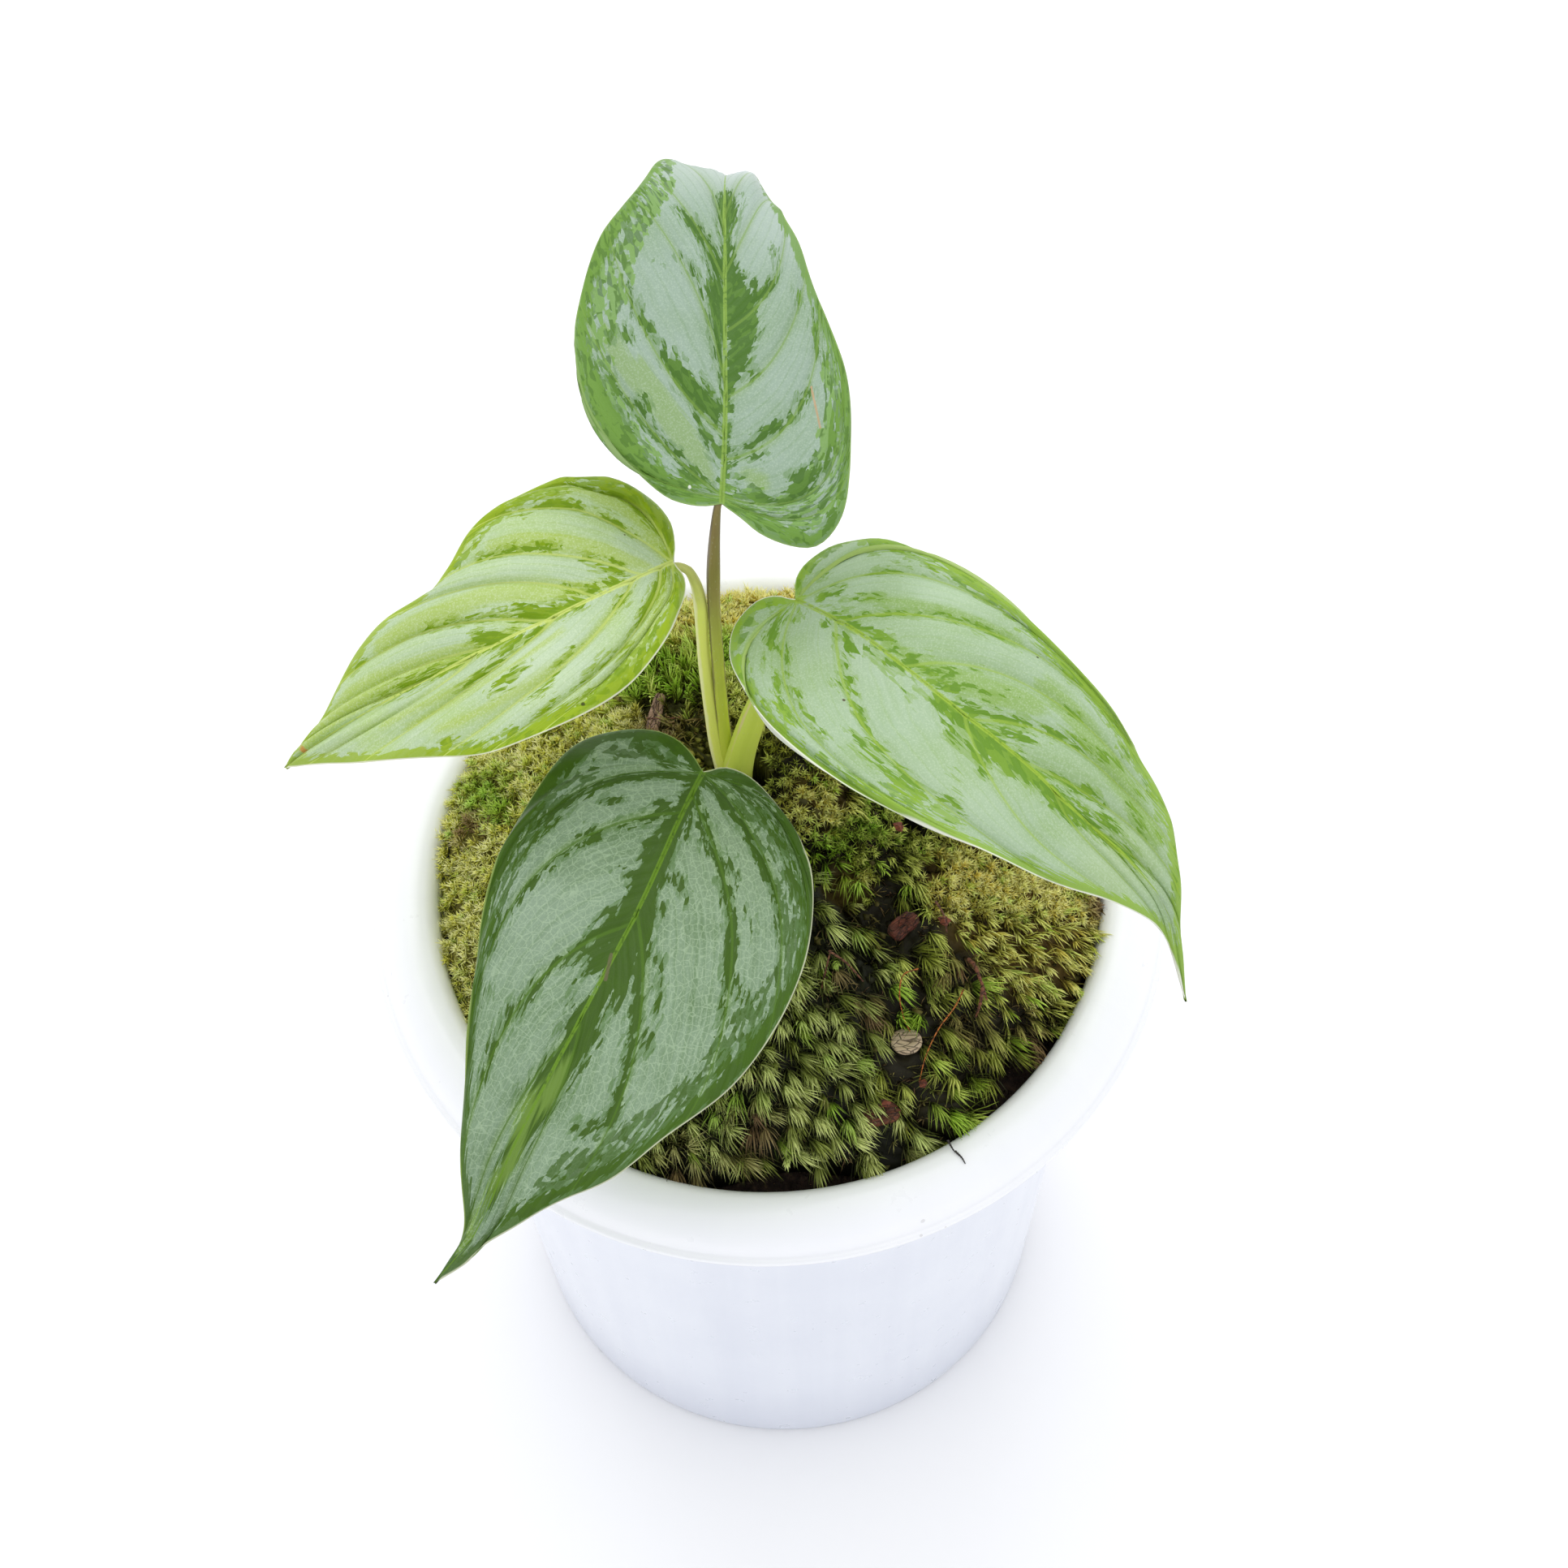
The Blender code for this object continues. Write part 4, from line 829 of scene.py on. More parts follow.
def tube_shape(places, radii, sides):
    """Rings of points round a line, capped at both ends, with each point's place along and round it.

    The radii are one number for each ring, or one for each point of each ring.
    """
    slopes = one_long(np.gradient(places, axis=0))
    radii = np.broadcast_to(np.reshape(radii, (len(places), -1)), (len(places), sides))
    turn = all_round(sides)
    across = np.cross(slopes[0], (1.0, 0.2, 0.1))
    rings = []
    for place, slope, radius in zip(places, slopes, radii):
        across = one_long(across - slope * np.dot(across, slope))
        other = np.cross(slope, across)
        circle = np.outer(np.cos(turn), across) + np.outer(np.sin(turn), other)
        rings.append(place + radius[:, None] * circle)
    ends = places[[0, -1]] + slopes[[0, -1]] * radii[[0, -1], :1] * ((-0.2,), (0.2,))
    count = len(places)
    along = np.concatenate([np.repeat(np.linspace(0, 1, count), sides), [0, 1]])
    around = np.concatenate([np.tile(np.arange(sides) / sides, count), [0, 0]])
    return np.vstack([*rings, ends]), capped_faces(count, sides), along, around


def stalk_skin():
    """Fine lengthwise lines, a seam and small pale pores on a juicy stalk."""
    tree, recipe, given = new_group(
        "stalk_skin", ("Place",), ("Along", "Around", "Seam", "Twin", "Wide"),
        ("Seam", "Lines", "Pores", "Relief"))
    around = given["Around"]
    drawn_out = recipe.vector(recipe.times(around, 26), recipe.times(given["Along"], 3))
    lines = recipe.noise(drawn_out, 1, 2)
    off = recipe.math("ABSOLUTE", recipe.math("SUBTRACT", around, given["Seam"]))
    mirrored = recipe.math("SUBTRACT", recipe.math("SUBTRACT", 1, around), given["Seam"])
    twin_off = recipe.plus(recipe.math("ABSOLUTE", mirrored), recipe.math("SUBTRACT", 1, given["Twin"]))
    wander = recipe.times(recipe.noise(given["Place"], 240, 3), 0.1)
    near = recipe.math("DIVIDE", recipe.plus(recipe.math("MINIMUM", off, twin_off), wander), given["Wide"])
    dots = recipe.cells(recipe.stretched(given["Place"], 1, 1, 0.35), 1900)["Distance"]
    pores = recipe.rise(dots, 0.22, 0.1)
    recipe.result(
        Seam=recipe.rise(near, 1.7, 0.9), Lines=lines, Pores=pores,
        Relief=recipe.plus(recipe.times(lines, 0.12), recipe.times(pores, 0.03)))
    return tree


def stalk_finish(name, colours):
    material, recipe = new_finish(name, coat_weight=0.05, coat_roughness=0.35, specular_ior_level=0.3)
    along = recipe.read("along")
    skin = recipe.use(
        STALK_SKIN, Place=recipe.place(), Along=along, Around=recipe.read("around"), Seam=colours["at"],
        Twin=colours.get("twin", 0.0), Wide=colours["wide"])
    wander = recipe.scaled(recipe.noise(recipe.place(), 160, 3), 0.2, -0.1)
    colour = recipe.ramp(recipe.plus(along, wander), *colours["skin"])
    colour = recipe.mix(recipe.times(skin["Seam"], 0.75), colour, colours["seam"])
    colour = recipe.mix(recipe.times(skin["Lines"], 0.11), colour, (0.7, 0.75, 0.3))
    recipe.dress(
        base_color=recipe.mix(recipe.times(skin["Pores"], 0.12), colour, (0.8, 0.8, 0.6)),
        roughness=recipe.scaled(skin["Lines"], 0.2, 0.32), normal=recipe.bump(skin["Relief"], 0.7))
    return material


def make_stalk(name, points, faces, along, around, material):
    stalk = new_piece(name, points * MM, faces, material)
    give(stalk, along=along, around=around)
    settle(stalk, "stems")


def make_stems():
    heights, shares = zip(*CROWN_LEVELS)
    even = np.linspace(heights[0], heights[-1], CROWN_RINGS)
    places = np.stack([np.full(CROWN_RINGS, CROWN_AT[0]), np.full(CROWN_RINGS, CROWN_AT[1]), even], 1)
    radii = CROWN_RADIUS * np.interp(even, heights, shares) * (1 + 0.05 * np.sin(even * 2.1))
    finish = stalk_finish("crown_skin", STALK_COLOURS["crown"])
    make_stalk("crown", *tube_shape(places, radii, STALK_SIDES), finish)
    turn = all_round(STALK_SIDES)
    ribs = 1 + 0.03 * np.cos(5 * turn + 0.7) + 0.02 * np.cos(9 * turn)
    for name, path in STALKS.items():
        even, spine = smooth_curve([point[:3] for point in path], STALK_RINGS)
        _, widths = smooth_curve([(index, point[3], 0) for index, point in enumerate(path)], STALK_RINGS)
        radii = widths[:, 1:2] * ribs * (1 + 0.02 * np.sin(even / even[-1] * 19)[:, None])
        finish = stalk_finish("stalk_skin_" + name[5:], STALK_COLOURS[name])
        make_stalk("stalk_" + name[5:], *tube_shape(spine, radii, STALK_SIDES), finish)


STALK_SKIN = stalk_skin()
make_stems()

# The leaves. Four heart-shaped blades, soft satin leather to the touch, each hung on its raised
# midrib and sunk along its side veins. Dark zones lie along the veins on a silver ground.

# Outlines, veins and markings are flat places in millimetres: across the blade, then along it from
# the stalk to the tip. Across is positive to the right of someone at the stalk who looks to the tip.
# A vein is its start on the midrib, the place that bends it and how far round the margin it ends.
# A marking is a line of places, each written as across, along and the half width there.
# The midrib, the painted sheen and shade and the spots are places of the whole plant. A patch of painted
# sheen and shade is its middle, radius, strength and colour, and a spot or scar is its start, its end, its
# half width and its colour.
LEAVES = {}
LEAVES["leaf_back"] = dict(
    midrib=(
        (-3.7, 22.6, 198), (-2.6, 34, 201.5), (-1.9, 48, 204.5), (-1.2, 63, 206.3), (-0.9, 73, 204.4),
        (-0.5, 80.5, 198.5), (0.3, 84, 188.5),
    ),
    roll=(0, -3, -9), fold=(10, 10), cup=4, wave=(0.4, 5, 0.6), quilt=0.6, swell_right=(4, 47, 4),
    left=(
        (0, 0), (-3.4, -0.6), (-7.5, 0.3), (-12, 3.5), (-16, 7.4), (-19.7, 13), (-21.6, 19.2), (-22.2, 26),
        (-20.8, 34), (-18.6, 40.6), (-15.4, 46.4), (-12.4, 52), (-10.4, 58), (-8.4, 63), (-4.6, 69),
        (0, 73.6),
    ),
    right=(
        (0, 0), (2.4, -1.8), (6, -4.6), (10.4, -6.2), (14.2, -6.2), (17, -3.4), (18.4, 1), (18.6, 9),
        (18, 18), (15.4, 27), (12.9, 34), (11.1, 40), (9.1, 45), (7.9, 50), (6.8, 54), (5.6, 58), (3.9, 64),
        (2, 69), (0, 73.6),
    ),
    left_veins=(
        (1, -21, 2.4, 0.38), (1.3, -13.9, 9.2, 0.47), (10.3, -12.4, 20.3, 0.606), (17.8, -2.4, 33.6, 0.69),
        (34.6, -5.2, 47.5, 0.75), (43, -2, 56, 0.86),
    ),
    right_veins=(
        (0.8, 15.5, -7.5, 0.29), (1.2, 21, -5.9, 0.47), (6.6, 14.4, 8.8, 0.551), (16.1, 10.3, 20.2, 0.61),
        (26.6, 9.3, 31.2, 0.7), (36, 3.5, 43.5, 0.78), (46, 2, 55, 0.87),
    ),
    dark=(
        (0.1, 50.6, 1.3, 0.7, 47.3, 1.6, 0.1, 41.2, 0.7, 0.6, 36.6, 1.2, 1.8, 31.7, 2.4, 2.5, 26.5, 2.4,
         2.3, 24, 1.9, 0.3, 16.6, 0.9, 0.1, 11, 0.5, 0.1, 0.6, 0.8), (2.9, 29, 1.2, 7.5, 34.6, 0.5),
        (3, 32.4, 1, 2.2, 35.5, 0.3), (4.5, 32.3, 0.8, 4.2, 34.3, 0.3), (2.9, 25.6, 1.5, 5.5, 26.3, 0.4),
        (2.9, 18.9, 0.5, 5, 19.6, 0.2), (-0.6, 36.1, 1.3, -2.9, 40.8, 0.9, -6.9, 46.3, 0.5),
        (-0.8, 29.2, 1.2, -3.1, 33.7, 0.6, -6.3, 38, 0.3), (-1.2, 33.4, 1.4, -0.6, 17.4, 0.3),
        (-1, 11.7, 0.4, -2, 14.1, 1.7, -6.4, 19.2, 1.2, -9, 22.8, 0.5, -12.7, 28, 0.4, -14.2, 31.7, 0.5,
         -14.4, 33.2, 0.3), (-0.8, 6.5, 0.4, -4.1, 12.3, 0.3),
        (-1, 1.8, 0.3, -11.8, 11.1, 0.5, -15.4, 15.6, 0.5, -17.7, 20.2, 0.3),
        (-12.6, 15.3, 0.8, -11.7, 13.6, 0.9), (-14.2, 24.9, 1, -15, 25.7, 0.4),
        (-17.3, 25.2, 0.4, -17.3, 24.2, 0.3), (-9.8, 36.4, 0.3, -9.4, 35.6, 0.2),
        (-0.5, 0.4, 0.5, -3.6, 0.6, 0.8, -7.1, 1.7, 1, -10.7, 4, 1.4, -14, 7.2, 1.7, -16.8, 10.9, 1.7,
         -18.8, 15.2, 1.4, -21.2, 24.2, 0.8, -21.1, 29.1, 1, -20.4, 33.3, 1, -19, 37.1, 1.3,
         -12.5, 49.8, 0.6), (-5.7, 4.7, 0.7, -3.7, 3.1, 0.9, -6.4, 2.1, 1),
        (0.8, 6.2, 0.5, 6.4, 10.6, 0.8, 10.1, 12.4, 0.4, 12.6, 16.8, 0.3),
        (1, 1.2, 0.5, 4.1, 1.2, 0.6, 8.8, 0.1, 0.5, 10.7, 1.4, 1, 11.8, 3.4, 1.7, 14.8, 5.4, 0.6,
         16.9, 14.4, 0.5),
        (1.5, -0.2, 0.8, 10.6, -5, 0.9, 13.7, -5.6, 0.7, 15.9, -3.4, 0.5, 17.4, 0.2, 0.5, 18.2, 9.9, 0.6,
         17.8, 17.5, 0.7, 16, 25.4, 0.6, 13.3, 30.6, 0.5), (13.3, 27.6, 0.3, 13.4, 21.7, 0.2),
        (14.8, 22, 0.3, 15, 19.6, 0.3), (4.6, 7.5, 0.5, 5.6, 6.7, 0.4), (11, 30.1, 0.3, 10.8, 32, 0.2),
        (2.9, 3.3, 0.4, 1.7, 2.6, 0.3), (6.9, 39.2, 0.2, 7.7, 37.8, 0.3),
    ),
    mottle=(
        (-11.1, 5, 1.9, -14.8, 9.3, 2.1, -17.7, 15.2, 2.1, -18.9, 21, 1.9, -18.5, 26.6, 2.2, -17, 32.5, 2.5,
         -13.2, 43.9, 1.9, -9.7, 50, 1.7, -9.8, 72.4, 1.6),
        (16.1, 21.6, 1.2, 16.4, 11, 2.2, 15.4, 4.3, 2.6, 13.5, -1, 2.4, 10, -2.2, 2.4, 5.8, -0.8, 2.2,
         2.6, 2.4, 1.6),
    ),
    clear=(
        (-1.8, 3.7, 0.8, -4.7, 7.8, 1.8, -7.6, 11.7, 2.1, -10.3, 15.8, 1.9, -12.7, 20.2, 1.5),
        (-17.3, 25.8, 1.2, -15, 20.6, 1.4, -12.7, 16.9, 1.1), (5.6, 3, 1.5, 3.2, 4.6, 0.8),
    ),
    colours=dict(
        clear=(0.235, 0.36, 0.115), silver=(0.3, 0.4, 0.315), cloud=(0.235, 0.345, 0.21),
        light=(0.5, 0.62, 0.48), half=(0.16, 0.275, 0.11), dark=(0.066, 0.155, 0.02),
        mottle=(0.17, 0.33, 0.05), band=(0.15, 0.295, 0.045), vein=(0.2, 0.34, 0.06), rib=(0.25, 0.4, 0.07),
        edge_left=(0.26, 0.4, 0.12), edge_right=(0.26, 0.4, 0.12), under=(0.24, 0.36, 0.13), clear_share=0.75,
        clear_dark=0, halo=0.25, net=0.12, vein_share=0.55, streaks=0.3,
    ),
    # Painted sheen: pale blue-white patches where the blade curls away at the top.
    painted_sheen_and_shade=(
        ((5.5, 82, 200), 13, 0.9, (0.66, 0.7, 0.74)), ((11, 68, 203), 16, 0.7, (0.5, 0.57, 0.56)),
        ((-7, 78, 204), 12, 0.6, (0.5, 0.58, 0.54)),
    ),
    spots=(
        ((10.2, 38, 204), (10.6, 34.8, 203.9), 0.2, (0.5, 0.34, 0.2)),
        ((10.6, 34.8, 203.9), (11.1, 31.3, 203.4), 0.16, (0.46, 0.32, 0.18)),
        ((-8.2, 24.8, 199.6), (-8.2, 24.8, 199.6), 0.3, (0.85, 0.88, 0.8)),
    ),
)
LEAVES["leaf_left"] = dict(
    midrib=(
        (-11.3, 21.3, 185), (-18, 17, 187), (-30, 11.5, 186.5), (-42.5, 8.5, 181.5), (-57, 6.5, 172),
        (-64.5, 5.5, 166), (-71, 5, 159),
    ),
    roll=(0, 0), fold=(8, 8), cup=6, wave=(0.5, 4, 2), quilt=1.1,
    left=(
        (0, 0), (-4, 0.8), (-8.4, 5.2), (-12.1, 8.8), (-15.4, 15.2), (-17.2, 22), (-17.5, 28.3), (-16.4, 35),
        (-13.6, 42), (-10.4, 50), (-7, 57), (-4.2, 62.4), (-2.2, 67), (0, 72),
    ),
    right=(
        (0, 0), (2.6, -2), (6.8, -4), (11.5, -3.9), (16.6, -1.2), (20, 3.2), (21.6, 11), (21.5, 20),
        (19.8, 28.6), (15.8, 34.6), (13.5, 40), (13, 46.6), (10.6, 52.7), (7.3, 58), (3.7, 63), (1.8, 67.8),
        (0, 72),
    ),
    left_veins=(
        (0.3, -9.7, 6, 0.42), (2.5, -12.7, 11.7, 0.51), (7.4, -10.8, 20.9, 0.6), (20.1, -6.4, 33.3, 0.783),
        (34, -5.2, 43, 0.93),
    ),
    right_veins=(
        (0, 19.8, -5.6, 0.4), (0.2, 20.6, 5.2, 0.51), (5.6, 15.7, 18.6, 0.607), (13.5, 11.5, 22, 0.72),
        (21.5, 10.9, 39.4, 0.84), (30, 4.1, 43.4, 0.91), (41, 1.5, 54, 0.96),
    ),
    dark=(
        (1.8, -0.8, 0.6, 5.6, -2, 0.8, 12.5, -1.9, 0.8, 18, 1.2, 0.5, 19.8, 4.7, 0.4, 20.7, 18.2, 0.7,
         19.3, 27.9, 0.5, 17.8, 31.1, 0.4),
        (3.7, -1.2, 0.6, 7.1, -1.6, 0.9, 11, -0.8, 0.7, 13.7, 0.2, 0.6, 16, 2.1, 0.4),
        (17.9, 13.7, 0.5, 17.2, 11.6, 1, 16.1, 9.7, 0.9, 14.5, 8.2, 0.4),
        (12.2, 6.2, 0.3, 10.7, 4.2, 0.5, 5.9, 2.6, 0.2), (17.5, 16.6, 0.2, 18.1, 19.1, 0.3),
        (17.3, 28.2, 0.5, 17, 29.1, 0.4, 17.2, 26.8, 0.2), (12.3, 19, 0.3, 11, 17.1, 0.6),
        (10.2, 16, 0.4, 9.4, 15, 0.5), (12.7, 21, 0.3, 14.2, 28.6, 0.2), (6.8, 13.1, 0.2, 1.8, 8.5, 0.2),
        (5.9, 10.4, 0.3, 2.5, 7.7, 0.3), (0.5, 8.4, 0.3, 1.5, 15.2, 0.8, 3.5, 17, 0.2),
        (0, 16.2, 0.9, 1.3, 22.2, 1.3, 2.6, 23.9, 1, 4, 24.8, 0.5),
        (0.8, 24.2, 0.2, 4, 28.5, 0.4, 7.8, 40.3, 0.2),
        (0.2, 26.6, 0.6, 0.5, 29.2, 1.2, 1.1, 30.8, 1.2, 2.3, 32, 0.6), (-0.1, 30.8, 0.6, 0.2, 34.6, 0.2),
        (-0.1, 35.9, 0.6, 0.3, 43.2, 0.7, 1, 46.9, 0.5), (-0.3, 43.4, 0.6, 0.7, 51.2, 0.2),
        (-0.8, 2, 0.4, -3.6, 5.9, 0.7, -8.3, 11.1, 0.2), (-1.1, 8.8, 0.4, -3.6, 12.1, 0.2),
        (-0.8, 22.1, 0.4, -1.4, 27.4, 0.7, -2.8, 29.5, 0.5, -5.3, 36.7, 0.2),
        (-6.7, 28.6, 0.8, -8.2, 29.9, 0.9, -8.2, 31.3, 0.5), (-6.6, 26.6, 0.5, -7.1, 27.1, 0.3),
        (-3, 1.7, 0.5, -9.7, 7.2, 0.5, -12.2, 10, 0.5, -15.4, 16.4, 0.5, -16.8, 26.5, 0.9, -16.4, 31.7, 0.7,
         -15, 38, 0.3), (-10.5, 13.6, 0.4, -11, 14.7, 0.3), (-10.9, 16.6, 0.3, -10.9, 17.6, 0.4),
        (-12.4, 20, 0.3, -13.1, 20.5, 0.5), (-13.6, 24, 0.3, -14.1, 26.7, 0.3),
        (-12.3, 40.1, 0.5, -13.3, 37.7, 0.2), (8.2, 52.2, 0.2, 7.6, 54.4, 0.2),
        (-6.7, 20.2, 0.2, -11.3, 24.8, 0.2, -12.1, 27.5, 0.2),
    ),
    mottle=(
        (6.3, -1.5, 1.4, 12.3, -1.2, 1.4, 16.6, 1.6, 1.1, 19.9, 11.5, 1.1, 20.5, 19.7, 1.4, 18.8, 28, 1.4,
         15.8, 33.1, 1),
        (-12.3, 43, 0.5, -15.6, 34.6, 0.8, -16.3, 26.5, 0.9, -14.9, 18.4, 0.7, -12, 12, 0.5, -8.4, 7.2, 0.4),
    ),
    clear=(
        (2.3, 0.3, 1.2, 7.5, -0.3, 1.6, 12.4, 0.9, 2, 17.6, 5.9, 1.7, 20.8, 13, 1.6, 21.2, 21.6, 1.7,
         19.3, 29.1, 1.6, 16.5, 33.5, 1.2),
        (1, 4.2, 0.8, 5.4, 8.3, 1.2, 10.1, 13.2, 1.4, 13.3, 19.5, 1.4, 15.1, 25.7, 1),
        (0.6, 9.7, 0.7, 2.5, 16.3, 1.4, 5, 22, 1.7, 7.5, 28.3, 1.6, 8.2, 35.4, 1.6, 9.2, 42.1, 1.6,
         8.6, 48.5, 1.4),
        (0.8, 25.9, 0.9, 0.3, 30.6, 1.4, 1.2, 38, 1.7, 2.2, 44.8, 2, 2.9, 50.9, 2.2, 2.8, 56.2, 2.2,
         1.5, 61.8, 1.8, 1.2, 66.5, 1.4),
        (-2.6, 3.6, 0.6, -9.1, 9.4, 0.8, -14.2, 16.7, 0.9, -15.3, 22.5, 0.6),
        (-2.2, 9.2, 0.5, -6.8, 18.3, 0.7, -9.3, 25.9, 0.8, -10.5, 33.7, 0.7, -10.1, 40.8, 0.5),
        (-3.4, 20.2, 0.5, -5.4, 27.4, 0.7, -6.5, 36.5, 0.8, -6.4, 46.3, 0.7),
        (-3.7, 30.5, 0.5, -4.7, 40, 0.6, -4.3, 50.4, 0.6),
    ),
    # The left blade's bright yellow-green is partly its own colour and partly painted light shining through
    # it from behind.
    colours=dict(
        clear=(0.37, 0.5, 0.06), silver=(0.42, 0.545, 0.34), cloud=(0.39, 0.54, 0.18), light=(0.7, 0.8, 0.58),
        half=(0.25, 0.38, 0.01), dark=(0.16, 0.285, 0), mottle=(0.23, 0.37, 0), band=(0.29, 0.42, 0.01),
        # edge_left: the margin's pale line, with a painted highlight along this lower margin.
        vein=(0.56, 0.67, 0.17), rib=(0.6, 0.7, 0.18), edge_left=(0.82, 0.82, 0.64),
        edge_right=(0.55, 0.66, 0.28), under=(0.46, 0.58, 0.12), clear_share=0.7, clear_dark=0, halo=0.4,
        net=0.16, vein_share=0.65, streaks=0.35,
    ),
    # Painted sheen: lighter patches on the blade.
    painted_sheen_and_shade=(
        ((-30, 3, 184), 13, 0.5, (0.6, 0.71, 0.55)), ((-36, 18, 185), 12, 0.35, (0.53, 0.66, 0.48)),
    ),
    spots=(
        ((-25.1, -3.6, 187.8), (-25.1, -3.6, 187.8), 0.35, (0.03, 0.03, 0.01)),
        ((-68, 5.7, 163.8), (-68, 5.7, 163.8), 0.8, (0.6, 0.25, 0.06)),
        ((-18.3, 25, 187.3), (-18.3, 25, 187.3), 0.25, (0.1, 0.1, 0.02)),
    ),
)
